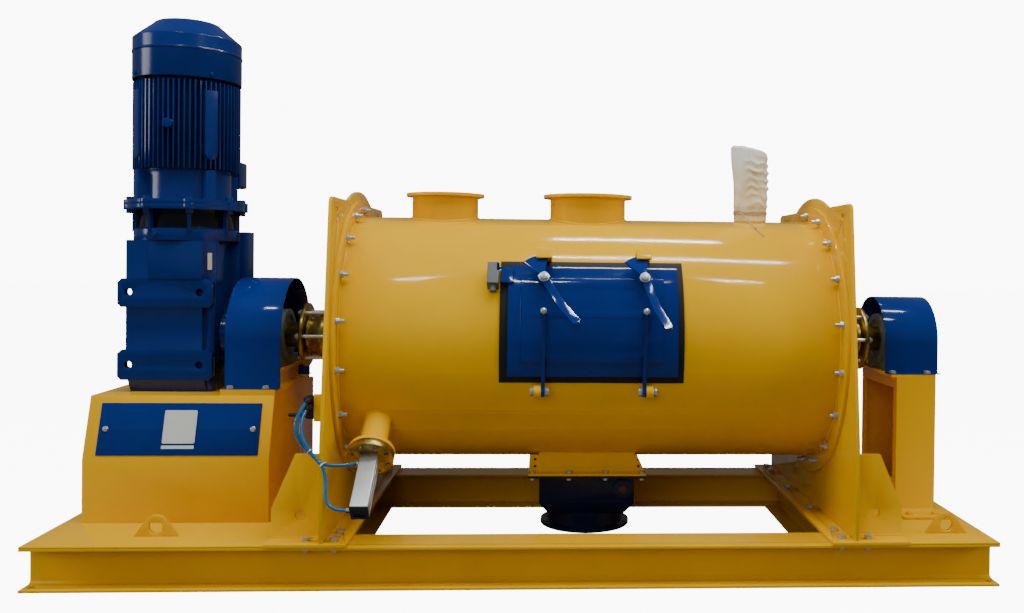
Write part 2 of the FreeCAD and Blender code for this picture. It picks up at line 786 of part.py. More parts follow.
def filter_sock():
    # the bag leans a little to the left and its flat top slopes down to the right
    rings = []
    for radius, lean, z in ((vent_radius + 3, 0, 1176), (vent_radius + 2, 0, 1190),
                            (vent_radius + 3, 0, 1222),
                            (60, -1, 1290), (61, -3, 1360), (62, -8, 1440)):
        rings.append(Part.Wire(Part.Circle(V(vent_x + lean, 0, z), V(0, 0, 1), radius).toShape()))
    bag = Part.makeLoft(rings, True, True)
    above = slab_xz([(vent_x - 80, 1438), (vent_x + 80, 1406), (vent_x + 80, 1500), (vent_x - 80, 1500)], -90,
                    90)
    return cut(bag, [above, rod_z(vent_radius, 1170, vent_top, vent_x, 0)])


def gland_parts(side):
    # built for the left side, turned round for the right one
    face = plate_left_out
    flange = rod_x(gland_radius, face - 12, face)
    barrel_end = face - gland_length + 26
    barrel = rod_x(74, barrel_end, face - 6)
    ring = rod_x(84, face - 118, face - 96)
    housing = fuse([flange, barrel, ring]).cut(rod_x(58, barrel_end - 1, face - 24)).cut(rod_x(47, face - 30,
                                                                                               face + 1))
    plate = rod_x(gland_radius, face - gland_length, face - gland_length + 12)
    sleeve = rod_x(57, face - gland_length + 6, face - 60)
    follower = fuse([plate, sleeve]).cut(rod_x(journal_radius + 1, face - gland_length - 1, face))
    studs = []
    for step in range(6):
        start = face - gland_length - 16
        stud = rod_x(gland_stud_radius, start, face - 12, -gland_stud_circle)
        nut = hexagon(19, V(face - gland_length, -gland_stud_circle, axis_height), V(-1, 0, 0), 10)
        studs.append(turn(fuse([stud, nut]), O, V(1, 0, 0), 60 * step))
    hole = rod_x(gland_stud_radius + 0.5, face - gland_length - 1, face, -gland_stud_circle)
    follower = cut(follower, [turn(hole, O, V(1, 0, 0), 60 * step) for step in range(6)])
    if side < 0:
        return housing, follower, studs
    middle = V((plate_left_out + plate_right_out) / 2, 0, axis_height)
    spun = [turn(shape, middle, V(0, 0, 1), 180) for shape in [housing, follower] + studs]
    return spun[0], spun[1], spun[2:]


def seal_ring():
    over = seal_border
    extra = math.degrees(over / drum_radius)
    outer = shell_sector(drum_radius, drum_radius + seal_thickness, door_low - extra + 0.4, door_high + extra,
                         door_left - over, door_right + over - 6)
    return outer.cut(door_opening())


def door_leaf():
    start = drum_radius + seal_thickness + 0.4
    leaf_top = start + leaf_thickness
    leaf = shell_sector(start, leaf_top, door_low, door_high, door_left, door_right)
    pan = shell_sector(leaf_top - 1, leaf_top + pan_thickness, door_low + 6.3, door_high - 6.4,
                       door_left + 44, door_right - 49)
    plug = shell_sector(inner_radius + 1, start + 1, door_low + 3.3, door_high - 3.3,
                        door_left + opening_margin + 5, door_right - opening_margin - 5)
    bosses = []
    for x in clamp_xs:
        boss = rod_y(16, -clamp_height + 3.4, -start - 2, x, axis_height)
        bosses.append(raised(boss, clamp_angle))
        pads = [box(x - 13, x - 7.5, -leaf_top - 22, -leaf_top + 1, axis_height - 6, axis_height + 6),
                box(x + 6.5, x + 13, -leaf_top - 22, -leaf_top + 1, axis_height - 6, axis_height + 6)]
        bosses.extend(raised(pad, -3.0) for pad in pads)
        bosses.append(raised(rod_y(12, -leaf_top - 12, -leaf_top + 1, x, axis_height), 13.5))
    leaf = fuse([leaf, pan, plug] + bosses)
    holes = [raised(rod_y(10, -clamp_height, -leaf_top - 4, x, axis_height), clamp_angle) for x in clamp_xs]
    return cut(leaf, holes)


def hinge_point():
    angle = math.radians(hinge_angle)
    return -hinge_radius * math.cos(angle), axis_height + hinge_radius * math.sin(angle)


arm_thickness = 12.0
arm_top_y = -482.0
arm_top_z = 851.0


def arm_start(x):
    return x - arm_thickness / 2


def door_arms():
    group = []
    hy, hz = hinge_point()
    length = math.hypot(arm_top_y - hy, arm_top_z - hz)
    uy = (arm_top_y - hy) / length
    uz = (arm_top_z - hz) / length
    for x in clamp_xs:
        x0 = arm_start(x)
        half = 11.0
        points = [(hy + uz * half, hz - uy * half), (arm_top_y + uz * half, arm_top_z - uy * half),
                  (arm_top_y - uz * half, arm_top_z + uy * half), (hy - uz * half, hz + uy * half)]
        bar = slab_yz(points, x0, x0 + arm_thickness)
        eye = rod_x(16, x0, x0 + arm_thickness, hy, hz)
        end = raised(rod_y(12, -505, -470, x, axis_height), 13.5)
        arm = fuse([bar, eye, end])
        arm = arm.cut(rod_x(8.2, x0 - 1, x0 + arm_thickness + 1, hy, hz))
        bolt_room = [rod_y(6.2, -520, -440, x, axis_height),
                     box(x - 20, x + 20, -540, -505, axis_height - 20, axis_height + 20)]
        group.append(cut(arm, [raised(tool, 13.5) for tool in bolt_room]))
    return group


def door_fasteners():
    group = []
    hy, hz = hinge_point()
    start = drum_radius + seal_thickness + 0.4 + leaf_thickness
    for x, outward in zip(clamp_xs, (-1, 1)):
        x_far = x + outward * (arm_thickness / 2 + hinge_lug_width + 2)
        x_near = x - outward * (arm_thickness / 2)
        axis = V(outward, 0, 0)
        shank = Part.makeCylinder(8, abs(x_far - x_near) + 12, V(x_near - outward * 12, hy, hz), axis)
        head = hexagon(24, V(x_far, hy, hz), axis, 10)
        nut = hexagon(24, V(x_near, hy, hz), axis * -1, 12)
        group.append(fuse([shank, head, nut]))
        stud = rod_y(6, -512, -start - 12, x, axis_height)
        dome = Part.makeSphere(9, V(x, -512, axis_height)).cut(box(x - 20, x + 20, -512, -480,
                                                                   axis_height - 20,
                                                                     axis_height + 20))
        collar = hexagon(19, V(x, -505, axis_height), V(0, -1, 0), 8)
        group.append(raised(fuse([stud, dome, collar]), 13.5))
        pivot = rod_y(10, -clamp_height - 16, -start - 4, x, axis_height)
        washer = rod_y(17, -clamp_height - 7, -clamp_height - 3.4, x, axis_height)
        nut = hexagon(24, V(x, -clamp_height - 7, axis_height), V(0, -1, 0), 10)
        group.append(raised(fuse([pivot, washer, nut]), clamp_angle))
    return group


hinge_lug_width = 23.0


def hinge_lugs():
    group = []
    for x, outward in zip(clamp_xs, (-1, 1)):
        near = x + outward * (arm_thickness / 2 + 0.5)
        far = near + outward * hinge_lug_width
        x0 = min(near, far)
        x1 = max(near, far)
        round_end = rod_x(20, x0, x1, -hinge_radius, axis_height)
        leg = box(x0, x1, -hinge_radius, -drum_radius + 6, axis_height - 20, axis_height + 11)
        lug = fuse([round_end, leg]).cut(rod_x(drum_radius, x0 - 1, x1 + 1))
        lug = lug.cut(rod_x(8 + running_gap, x0 - 1, x1 + 1, -hinge_radius, axis_height))
        group.append(raised(lug, hinge_angle))
    return group


cam_thickness = 6.0
lever_width = 26.0
lever_inner = 113.0
lever_outer = 107.0
lever_bend = 27.0


def clamp(x, lever_angle, cam_from):
    front = -clamp_height - cam_thickness / 2
    back = -clamp_height + cam_thickness / 2
    points = [(x, axis_height)]
    for step in range(9):
        phi = math.radians(cam_from + step * 62.0 / 8)
        radius = 85 - step * 11.0 / 8
        points.append((x + radius * math.sin(phi), axis_height + radius * math.cos(phi)))
    cam = slab_xz(points, front, back)
    hub = rod_y(20, front, back, x, axis_height)
    bar = box(x - lever_width / 2, x + lever_width / 2, front, back, axis_height - lever_inner, axis_height)
    tip = box(x - lever_width / 2, x + lever_width / 2, front, back,
              axis_height - lever_inner - lever_outer + 8, axis_height - lever_inner)
    end = rod_y(lever_width / 2, front, back, x, axis_height - lever_inner - lever_outer + 13)
    tip = turn(fuse([tip, end]), V(x, front, axis_height - lever_inner), V(1, 0, 0), -lever_bend)
    knee = rod_x(cam_thickness * 0.5, x - lever_width / 2, x + lever_width / 2, -clamp_height,
                 axis_height - lever_inner)
    lever = turn(fuse([bar, tip, knee]), V(x, 0, axis_height), V(0, 1, 0), -lever_angle)
    whole = fuse([cam, hub, lever])
    return raised(whole.cut(rod_y(10 + running_gap, front - 1, back + 1, x, axis_height)), clamp_angle)


catch_width = 50.0


def catch_blocks():
    group = []
    for x in clamp_xs:
        x0 = x - catch_width / 2
        x1 = x + catch_width / 2
        leg = box(x0, x1, -495, -drum_radius + 30, axis_height + 89.5, axis_height + 101)
        lip = box(x0, x1, -495, -clamp_height - cam_thickness / 2 - 1.5, axis_height + 65, axis_height + 101)
        block = raised(fuse([leg, lip]), clamp_angle)
        group.append(block.cut(rod_x(drum_radius, x0 - 1, x1 + 1)))
    return group


switch_angle = 30.5


def safety_switch():
    body = box(-125, -88, -466, -drum_radius + 8, axis_height - 39, axis_height + 39)
    front = [edge for edge in body.Edges if abs(edge.CenterOfMass.y + 466) < 0.1]
    body = body.makeFillet(3, front)
    notch = box(-95, -87, -467, -441, axis_height + 7, axis_height + 35)
    nipple = rod_z(10, axis_height - 60, axis_height - 38, -106, -446)
    return raised(fuse([body.cut(notch), nipple]), switch_angle).cut(rod_x(drum_radius, -140, -70))


def switch_key():
    start = drum_radius + seal_thickness + 0.4 + leaf_thickness
    foot = box(-57, -43, -start - 8, -start + 2, axis_height - 26, axis_height + 26)
    plate = box(-80, -43, -start - 8, -start - 3, axis_height - 26, axis_height + 26)
    tongue = box(-93, -79, -start - 7, -start - 4.5, axis_height + 18, axis_height + 31)
    key = raised(fuse([foot, plate, tongue]), switch_angle)
    return key.cut(rod_x(start, -140, 20))


def main_shaft():
    long = rod_x(journal_radius, coupling_left + coupling_disc + coupling_gap + 1,
                 bearing_right_face + bearing_width + 18)
    body = rod_x(shaft_body_radius, drum_left + 14, drum_right - 14)
    return fuse([long, body])


def plough_places():
    places = []
    step = (drum_length - 300) / (plough_count - 1)
    for index in range(plough_count):
        places.append((drum_left + 150 + index * step, 90 + 120 * index))
    return places


plough_half = 118.0
plough_tip = 26.0
plough_tail = 14.0


def plough_point(radius, degrees, x):
    angle = math.radians(degrees)
    return V(x, radius * math.sin(angle), axis_height + radius * math.cos(angle))


def ploughshare(x, spin):
    reach = inner_radius - wall_gap
    over = reach + 60
    tip = plough_point(over, plough_tip, x)
    left = plough_point(over, -plough_tail, x - plough_half)
    right = plough_point(over, -plough_tail, x + plough_half)
    ridge = plough_point(reach - 92, -plough_tail, x)

    def pyramid(points):
        a, b, c, d = points
        faces = [Part.Face(Part.makePolygon([p, q, r, p]))
                 for p, q, r in ((a, b, d), (b, c, d), (c, a, d), (a, c, b))]
        return Part.makeSolid(Part.makeShell(faces))

    outer = pyramid([tip, left, right, ridge])
    hollow = outer.copy()
    hollow.translate(V(0, -26, 0))
    hollow.scale(0.94, plough_point(over, -plough_tail, x))
    blade = outer.cut(hollow).common(rod_x(reach, x - 300, x + 300))
    solids = sorted(blade.Solids, key=lambda s: s.Volume)
    return turn(solids[-1], O, V(1, 0, 0), spin)


def plough_arm(x, spin):
    reach = inner_radius - wall_gap
    angle = math.radians(-plough_tail + 9)
    direction = V(0, math.sin(angle), math.cos(angle))
    arm = Part.makeCylinder(21, reach - 60 - shaft_body_radius + 20,
                            O + direction * (shaft_body_radius - 20) + V(x, 0, 0),
                            direction)
    collar = Part.makeCylinder(34, 36, O + direction * (shaft_body_radius - 12) + V(x, 0, 0), direction)
    arm = fuse([arm, collar]).cut(rod_x(shaft_body_radius, x - 60, x + 60))
    return turn(arm, O, V(1, 0, 0), spin)


def ploughshares():
    return [ploughshare(x, spin) for x, spin in plough_places()]


def scraper(x, spin, toward):
    blade_x0 = x - 5
    blade = box(blade_x0, blade_x0 + 10, -24, 24, axis_height + shaft_body_radius,
                axis_height + inner_radius - wall_gap)
    return turn(blade.cut(rod_x(shaft_body_radius, x - 20, x + 20)), O, V(1, 0, 0), spin)


def plough_arms():
    group = []
    for x, spin in plough_places():
        rest = plough_arm(x, spin).cut(ploughshare(x, spin))
        group.append(sorted(rest.Solids, key=lambda solid: solid.Volume)[-1])
    for x, toward in ((drum_left + 22, -1), (drum_right - 22, 1)):
        for spin in (30, 210):
            group.append(scraper(x, spin, toward))
    return group


sampler_face = drum_radius + 140.0
sampler_flange_radius = 73.0


def sampler_tube():
    tube = rod_y(sampler_tube_radius, -sampler_face + 4, -drum_radius + 60, sampler_x, axis_height)
    flange = rod_y(sampler_flange_radius, -sampler_face, -sampler_face + 12, sampler_x, axis_height)
    whole = fuse([tube, flange]).cut(rod_y(sampler_bore_radius, -sampler_face - 6, -300, sampler_x,
                                           axis_height))
    return sampler_frame(whole.cut(rod_x(inner_radius + 2, sampler_x - 80, sampler_x + 80)))


sampler_rod_radius = 8.0
barrel_half = 27.0
barrel_bore_radius = 20.0
cylinder_start = sampler_face + 26.0
barrel_start = cylinder_start + 22.0
barrel_end = barrel_start + 162.0
cylinder_end = barrel_end + 22.0


def sampler_flange():
    ring = rod_y(sampler_flange_radius, -cylinder_start, -sampler_face, sampler_x, axis_height)
    heads = []
    for step in range(8):
        head = hexagon(13, V(sampler_x, -cylinder_start, axis_height + 58), V(0, -1, 0), 6)
        heads.append(turn(head, V(sampler_x, 0, axis_height), V(0, 1, 0), 22.5 + 45 * step))
    whole = fuse([ring] + heads)
    rod_room = rod_y(sampler_rod_radius + running_gap, -cylinder_start - 10, -sampler_face + 4, sampler_x,
                     axis_height)
    return sampler_frame(whole.cut(rod_room))


def sampler_cylinder():
    x0 = sampler_x - barrel_half
    x1 = sampler_x + barrel_half
    z0 = axis_height - barrel_half
    z1 = axis_height + barrel_half
    barrel = box(x0, x1, -cylinder_end, -cylinder_start, z0, z1)
    long_edges = [edge for edge in barrel.Edges if abs(edge.Length - cylinder_end + cylinder_start) < 0.1]
    barrel = barrel.makeFillet(3, long_edges)
    hollows = []
    for dz in (-13, 13):
        for x in (x0 - 1, x1 - 4):
            hollows.append(box(x, x + 5, -barrel_end, -barrel_start, axis_height + dz - 2,
                               axis_height + dz + 2))
    recess = box(x0 + 9, x1 - 9, -cylinder_end - 1, -cylinder_end + 4, z0 + 9, z1 - 9)
    hollows.append(recess.makeFillet(8, [edge for edge in recess.Edges if abs(edge.Length - 5) < 0.1]))
    whole = cut(barrel, hollows)
    bore = rod_y(barrel_bore_radius, -barrel_end, -barrel_start, sampler_x, axis_height)
    rod_room = rod_y(sampler_rod_radius + running_gap, -barrel_start - 1, -cylinder_start + 10, sampler_x,
                     axis_height)
    stubs = [hose_stub(hose_route(which)[-1], hose_route(which)[-2]) for which in (0, 1)]
    return fuse([sampler_frame(whole)] + stubs).cut(sampler_frame(fuse([bore, rod_room])))


def sampler_plunger():
    plug = rod_y(sampler_bore_radius - 0.5, -inner_radius - 30, -inner_radius, sampler_x, axis_height)
    piston_start = barrel_start + 8
    stem = rod_y(sampler_rod_radius, -piston_start - 16, -inner_radius - 22, sampler_x, axis_height)
    piston = rod_y(barrel_bore_radius - running_gap, -piston_start - 20, -piston_start, sampler_x,
                   axis_height)
    return sampler_frame(fuse([plug, stem, piston]))


valve_x = plate_left_out - 47.0
valve_plane = -480.0
valve_z = 540.0
valve_pin_radius = 3.0
valve_pivot_x = valve_x - 15.0
valve_pivot_z = valve_z - 18.0


def valve_body():
    block = box(valve_x - 8, valve_x + 30, valve_plane, valve_plane + 28, valve_z - 28, valve_z + 42)
    middle = valve_plane + 14
    clevis = box(valve_pivot_x - 6, valve_x - 7, middle - 8, middle + 8, valve_pivot_z - 8, valve_pivot_z + 8)
    clevis = clevis.cut(box(valve_pivot_x - 7, valve_pivot_x + 6, middle - 3, middle + 3,
                            valve_pivot_z - 9, valve_pivot_z + 9))
    pin = rod_y(valve_pin_radius, middle - 8, middle + 8, valve_pivot_x, valve_pivot_z)
    pieces = [block, clevis, pin]
    for which in (0, 1):
        start, following = hose_route(which)[:2]
        foot = start.z + 11
        pieces.append(box(valve_x - 7, valve_x + 11, start.y + 5, valve_plane + 1, foot - 8, foot + 5))
        pieces.append(hose_stub(start, following))
    return fuse(pieces)


def valve_lever():
    middle = valve_plane + 14
    eye = rod_y(5.5, middle - 2.6, middle + 2.6, valve_pivot_x, valve_pivot_z)
    blade = box(valve_pivot_x - 16, valve_pivot_x, middle - 2.6, middle + 2.6, valve_pivot_z - 4,
                valve_pivot_z + 4)
    grip = rod_x(6, valve_pivot_x - 48, valve_pivot_x - 12, middle, valve_pivot_z)
    tip = Part.makeSphere(6, V(valve_pivot_x - 48, middle, valve_pivot_z))
    lever = fuse([eye, blade, grip, tip])
    return lever.cut(rod_y(valve_pin_radius + running_gap, middle - 5, middle + 5, valve_pivot_x,
                           valve_pivot_z))


hose_radius = 5.5
stub_radius = 7.5
stub_length = 16.0


def hose_stub(end, inside):
    direction = end - inside
    direction.normalize()
    return Part.makeCylinder(stub_radius, stub_length, end, direction)


def sampler_point(distance):
    angle = math.radians(sampler_angle)
    return -distance * math.cos(angle), axis_height - distance * math.sin(angle)


def hose_route(which):
    face_x = sampler_x - barrel_half
    if which == 0:
        y, z = sampler_point(cylinder_start + 11)
        return [V(valve_x, valve_plane - 43, valve_z + 27), V(-690, -552, 524), V(-681, -562, 464),
                V(-626, -566, 409), V(-590, -563, 380), V(face_x - 10, y - 22, z)]
    y, z = sampler_point(barrel_end + 11)
    return [V(valve_x, valve_plane - 43, valve_z + 5), V(-674, -548, 516), V(-662, -573, 465),
            V(-627, -580, 418), V(-593, -586, 386), V(-583, -604, 335), V(-581, y + 7, z + 27),
            V(-555, y, z + 0.5), V(face_x - 12, y, z)]


def hose(which):
    points = hose_route(which)
    pieces = []
    here = points[0]
    for index in range(1, len(points) - 1):
        back = points[index - 1] - points[index]
        ahead = points[index + 1] - points[index]
        shorter = min(back.Length, ahead.Length)
        back.normalize()
        ahead.normalize()
        half_turn = (math.pi - math.acos(max(-1.0, min(1.0, back.dot(ahead))))) / 2
        trim = 0.45 * shorter
        radius = trim / math.tan(half_turn)
        print("hose", which, "bend radius", round(radius, 1), "turn", round(math.degrees(2 * half_turn), 1))
        start = points[index] + back * trim
        end = points[index] + ahead * trim
        bisector = back + ahead
        bisector.normalize()
        middle = points[index] + bisector * (radius / math.cos(half_turn) - radius)
        pieces.append(Part.LineSegment(here, start).toShape())
        pieces.append(Part.Arc(start, middle, end).toShape())
        here = end
    pieces.append(Part.LineSegment(here, points[-1]).toShape())
    path = Part.Wire(pieces)
    direction = points[1] - points[0]
    ring = Part.Wire(Part.Circle(points[0], direction, hose_radius).toShape())
    pipe = path.makePipeShell([ring], True, True)
    print("hose", which, "length", round(path.Length, 1), "volume ratio",
          round(pipe.Volume / (math.pi * hose_radius ** 2 * path.Length), 4))
    return pipe


def chute_square(half, z0, z1):
    return box(discharge_x - half, discharge_x + half, -half, half, z0, z1)


chute_flange_z = 270.0
chute_wall = 6.0
chute_bolt_radius = 6.0
chute_lug_reach = 34.0
chute_lug_height = 66.0


def discharge_chute():
    half = chute_width / 2
    walls = chute_square(half, chute_flange_z, axis_height - 300)
    walls = walls.cut(chute_square(half - chute_wall, chute_flange_z - 1, axis_height))
    walls = walls.cut(rod_x(drum_radius, discharge_x - 300, discharge_x + 300))
    flange = chute_square(chute_flange_width / 2, chute_flange_z, chute_flange_z + 7)
    flange = flange.cut(chute_square(half - chute_wall, chute_flange_z - 1, chute_flange_z + 8))
    pieces = [walls, flange]
    for side in (-1, 1):
        inner_x = discharge_x + side * half
        outer_x = discharge_x + side * chute_flange_width / 2
        for y in (-half, half - 8):
            peak = inner_x + side * (chute_lug_reach if side < 0 else 8.0)
            points = [(inner_x, chute_flange_z + 6), (outer_x, chute_flange_z + 6),
                      (peak, chute_flange_z + chute_lug_height), (inner_x, chute_flange_z + chute_lug_height)]
            lug = slab_xz(points, y, y + 8)
            for height in (26, 50):
                eye_x = inner_x + side * 15
                lug = lug.cut(rod_y(5, y - 1, y + 9, eye_x, chute_flange_z + height))
            pieces.append(lug)
    whole = fuse(pieces)
    holes = [rod_z(chute_bolt_radius + bolt_clearance, chute_flange_z - 1, chute_flange_z + 8, x, y)
             for x, y in chute_bolt_places()]
    return cut(whole, holes)


def chute_bolt_places():
    reach = chute_flange_width / 2 - 14
    places = set()
    for step in range(4):
        along = -reach + step * reach * 2 / 3
        for edge in (-reach, reach):
            places.add((round(discharge_x + along, 3), round(edge, 3)))
            places.add((round(discharge_x + edge, 3), round(along, 3)))
    return sorted(places)


housing_flange_z = chute_flange_z - 1.0
housing_knee = 166.0
neck_top = 125.0
outlet_flange_z = 60.0
outlet_radius = 160.5
neck_radius = 134.0


def discharge_gasket():
    ring = chute_square(chute_flange_width / 2, housing_flange_z, chute_flange_z)
    ring = ring.cut(chute_square(chute_width / 2 - chute_wall, housing_flange_z - 1, chute_flange_z + 1))
    return cut(ring, [rod_z(chute_bolt_radius + bolt_clearance, housing_flange_z - 1, chute_flange_z + 1, x,
                            y) for x, y in chute_bolt_places()])


def frustum(half_top, half_bottom, z_top, z_bottom):
    def ring(half, z):
        points = [V(discharge_x - half, -half, z), V(discharge_x + half, -half, z),
                  V(discharge_x + half, half, z), V(discharge_x - half, half, z)]
        return Part.makePolygon(points + [points[0]])
    return Part.makeLoft([ring(half_bottom, z_bottom), ring(half_top, z_top)], True, True)


def discharge_housing():
    half = chute_width / 2
    flange = chute_square(chute_flange_width / 2, housing_flange_z - 7, housing_flange_z)
    walls = chute_square(half, housing_knee, housing_flange_z - 1)
    cone = frustum(half, neck_radius, housing_knee, neck_top)
    neck = rod_z(neck_radius, outlet_flange_z, neck_top, discharge_x, 0)
    outlet = rod_z(outlet_radius, outlet_flange_z, outlet_flange_z + 12, discharge_x, 0)
    bosses = [rod_y(35, -half - 12, -half + 2, flap_hinge_x, flap_hinge_z),
              rod_y(35, half - 2, half + 12, flap_hinge_x, flap_hinge_z)]
    whole = fuse([flange, walls, cone, neck, outlet] + bosses)
    room = half - chute_wall
    whole = whole.cut(chute_square(room, housing_knee, housing_flange_z + 1))
    whole = whole.cut(frustum(room, neck_radius - chute_wall, housing_knee, neck_top))
    whole = whole.cut(rod_z(neck_radius - chute_wall, outlet_flange_z - 1, neck_top + 1, discharge_x, 0))
    whole = whole.cut(rod_y(flap_shaft_radius + running_gap, -half - 20, half + 20, flap_hinge_x,
                            flap_hinge_z))
    holes = [rod_z(chute_bolt_radius + bolt_clearance, housing_flange_z - 8, housing_flange_z + 1, x, y)
             for x, y in chute_bolt_places()]
    for step in range(8):
        angle = math.pi / 8 + step * math.pi / 4
        x = discharge_x + outlet_bolt_circle * math.cos(angle)
        holes.append(rod_z(5.5, outlet_flange_z - 1, outlet_flange_z + 13, x,
                           outlet_bolt_circle * math.sin(angle)))
    return cut(whole, holes)


flap_shaft_radius = 15.0
crank_reach = 110.0
outlet_bolt_circle = 148.0


def chute_bolts():
    group = []
    for x, y in chute_bolt_places():
        group.append(bolt(V(x, y, chute_flange_z + 7), V(0, 0, 1), 19, 8, chute_bolt_radius, 15, 10))
    return group


def discharge_flap():
    x0 = discharge_x - 96.5
    x1 = discharge_x + 97
    ring = rod_x(drum_radius, x0, x1).cut(rod_x(inner_radius, x0 - 1, x1 + 1))
    plate = ring.common(box(x0, x1, -107.5, 107.5, axis_height - drum_radius - 1, axis_height - 300))
    arms = []
    for y in (-46, 34):
        points = [(discharge_x - 70, 330), (discharge_x + 80, 330), (flap_hinge_x + 10, 260),
                  (flap_hinge_x + 24, flap_hinge_z), (flap_hinge_x, flap_hinge_z - 24),
                  (flap_hinge_x - 24, flap_hinge_z), (discharge_x - 70, 296)]
        arm = slab_xz(points, y, y + 12)
        arms.append(arm.cut(rod_x(drum_radius - 2, x0, x1)))
    hub = rod_y(26, -50, 50, flap_hinge_x, flap_hinge_z)
    whole = fuse([plate, hub] + arms)
    return whole.cut(rod_y(flap_shaft_radius, -60, 60, flap_hinge_x, flap_hinge_z))


def flap_shaft():
    shaft = rod_y(flap_shaft_radius, -chute_width / 2 - 10, chute_width / 2 + 60, flap_hinge_x, flap_hinge_z)
    y0 = chute_width / 2 + 43
    eye_x = flap_hinge_x - crank_reach
    crank = box(eye_x, flap_hinge_x, y0, y0 + 12, flap_hinge_z - 16, flap_hinge_z + 16)
    hub = rod_y(26, y0 - 4, y0 + 16, flap_hinge_x, flap_hinge_z)
    end = rod_y(16, y0, y0 + 12, eye_x, flap_hinge_z)
    eye = rod_y(7, y0 - 1, y0 + 13, eye_x, flap_hinge_z)
    return fuse([shaft, crank, hub, end]).cut(eye)


def save(name, shapes):
    shapes = shapes if isinstance(shapes, list) else [shapes]
    solids = []
    for shape in shapes:
        solids.extend(shape.Solids)
    whole = solids[0] if len(solids) == 1 else Part.makeCompound(solids)
    valid = all(solid.isValid() for solid in solids)
    whole.exportStep("parts/" + name + ".step")
    print(name, len(solids), "solids", "volume", round(whole.Volume / 1000), "cm3",
          "" if valid else "NOT VALID")


left_gland = gland_parts(-1)
right_gland = gland_parts(1)

save("base_long_beams", [side_beam(-1), side_beam(1)])
save("base_cross_beams", base_cross_beams())
save("deck_plates", deck_plates())
save("lifting_lugs", lifting_lugs())
save("drive_stand", drive_stand())
save("stand_cover", stand_cover())
save("gearbox_housing", gearbox_housing())
save("motor_adapter", motor_adapter())
save("motor_shield", motor_shield())
save("motor_frame", motor_frame())
save("terminal_box", terminal_box())
save("motor_cowl", motor_cowl())
save("motor_shaft", motor_shaft())
save("motor_fan", motor_fan())
save("coupling_drive", coupling_drive())
save("coupling_driven", coupling_driven())
save("bearings", [bearing_housing(bearing_left_face - bearing_width), bearing_housing(bearing_right_face)])
save("guard_left", guard_left())
save("guard_right", guard_right())
save("bearing_stand", bearing_stand())
save("end_plate_left", end_plate_left())
save("end_plate_right", end_plate(1))
save("plate_feet", [plate_foot(-1), plate_foot(1)])
save("drum_shell", drum_shell())
save("drum_rings", drum_rings())
save("flange_bolts", drum_bolts() + chute_bolts())
save("foot_bolts", foot_bolts())
save("inlet_left", inlet(0))
save("inlet_right", inlet(1))
save("vent_spigot", vent_spigot())
save("filter_sock", filter_sock())
save("gland_housings", [left_gland[0], right_gland[0]])
save("gland_followers", [left_gland[1], right_gland[1]])
save("gland_studs", left_gland[2] + right_gland[2])
save("door_seal", seal_ring())
save("door_leaf", door_leaf())
save("door_arms", door_arms())
save("door_fasteners", door_fasteners())
save("hinge_lugs", hinge_lugs())
save("clamp_left", clamp(clamp_xs[0], 30.3, -53.0))
save("clamp_right", clamp(clamp_xs[1], 18.1, -50.0))
save("catch_blocks", catch_blocks())
save("safety_switch", safety_switch())
save("switch_key", switch_key())
save("main_shaft", main_shaft())
save("plough_arms", plough_arms())
save("ploughshares", ploughshares())
save("sampler_tube", sampler_tube())
save("sampler_flange", sampler_flange())
save("sampler_cylinder", sampler_cylinder())
save("sampler_plunger", sampler_plunger())
save("valve_body", valve_body())
save("valve_lever", valve_lever())
save("hose_upper", hose(0))
save("hose_lower", hose(1))
save("discharge_chute", discharge_chute())
save("discharge_gasket", discharge_gasket())
save("discharge_housing", discharge_housing())
save("discharge_flap", discharge_flap())
save("flap_shaft", flap_shaft())
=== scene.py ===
import bpy
import bmesh
import math
from mathutils import Matrix, Vector, noise


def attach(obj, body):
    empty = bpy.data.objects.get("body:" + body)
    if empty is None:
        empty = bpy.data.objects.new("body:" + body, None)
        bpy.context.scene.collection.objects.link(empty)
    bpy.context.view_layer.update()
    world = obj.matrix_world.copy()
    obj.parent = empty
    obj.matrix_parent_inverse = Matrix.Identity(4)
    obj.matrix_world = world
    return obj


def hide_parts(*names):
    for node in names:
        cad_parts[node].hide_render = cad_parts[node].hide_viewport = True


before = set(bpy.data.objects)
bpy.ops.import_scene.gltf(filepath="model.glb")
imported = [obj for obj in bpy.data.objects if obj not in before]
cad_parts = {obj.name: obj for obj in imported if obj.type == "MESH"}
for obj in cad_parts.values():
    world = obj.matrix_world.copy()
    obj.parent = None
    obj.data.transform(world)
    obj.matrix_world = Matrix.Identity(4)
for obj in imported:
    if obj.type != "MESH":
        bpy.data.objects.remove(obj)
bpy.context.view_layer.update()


# The view. A pale plain studio floor under the machine, lit by soft overhead panels as in an assembly hall,
# seen by a camera at chest height in front of the door.
def linear(hex_colour):
    parts = [int(hex_colour[i:i + 2], 16) / 255 for i in (1, 3, 5)]
    return [c / 12.92 if c <= 0.04045 else ((c + 0.055) / 1.055) ** 2.4 for c in parts] + [1.0]


def add_node(tree, kind, settings=None, links=None, **fields):
    node = tree.nodes.new(kind)
    for key, value in fields.items():
        setattr(node, key, value)
    for key, value in (settings or {}).items():
        node.inputs[key].default_value = value
    for key, source in (links or {}).items():
        tree.links.new(source, node.inputs[key])
    return node


def new_mesh_object(name, vertices, faces, edges=()):
    mesh = bpy.data.meshes.new(name)
    mesh.from_pydata([Vector(v) for v in vertices], list(edges), faces)
    mesh.validate()
    piece = bpy.data.objects.new(name, mesh)
    bpy.context.scene.collection.objects.link(piece)
    return piece


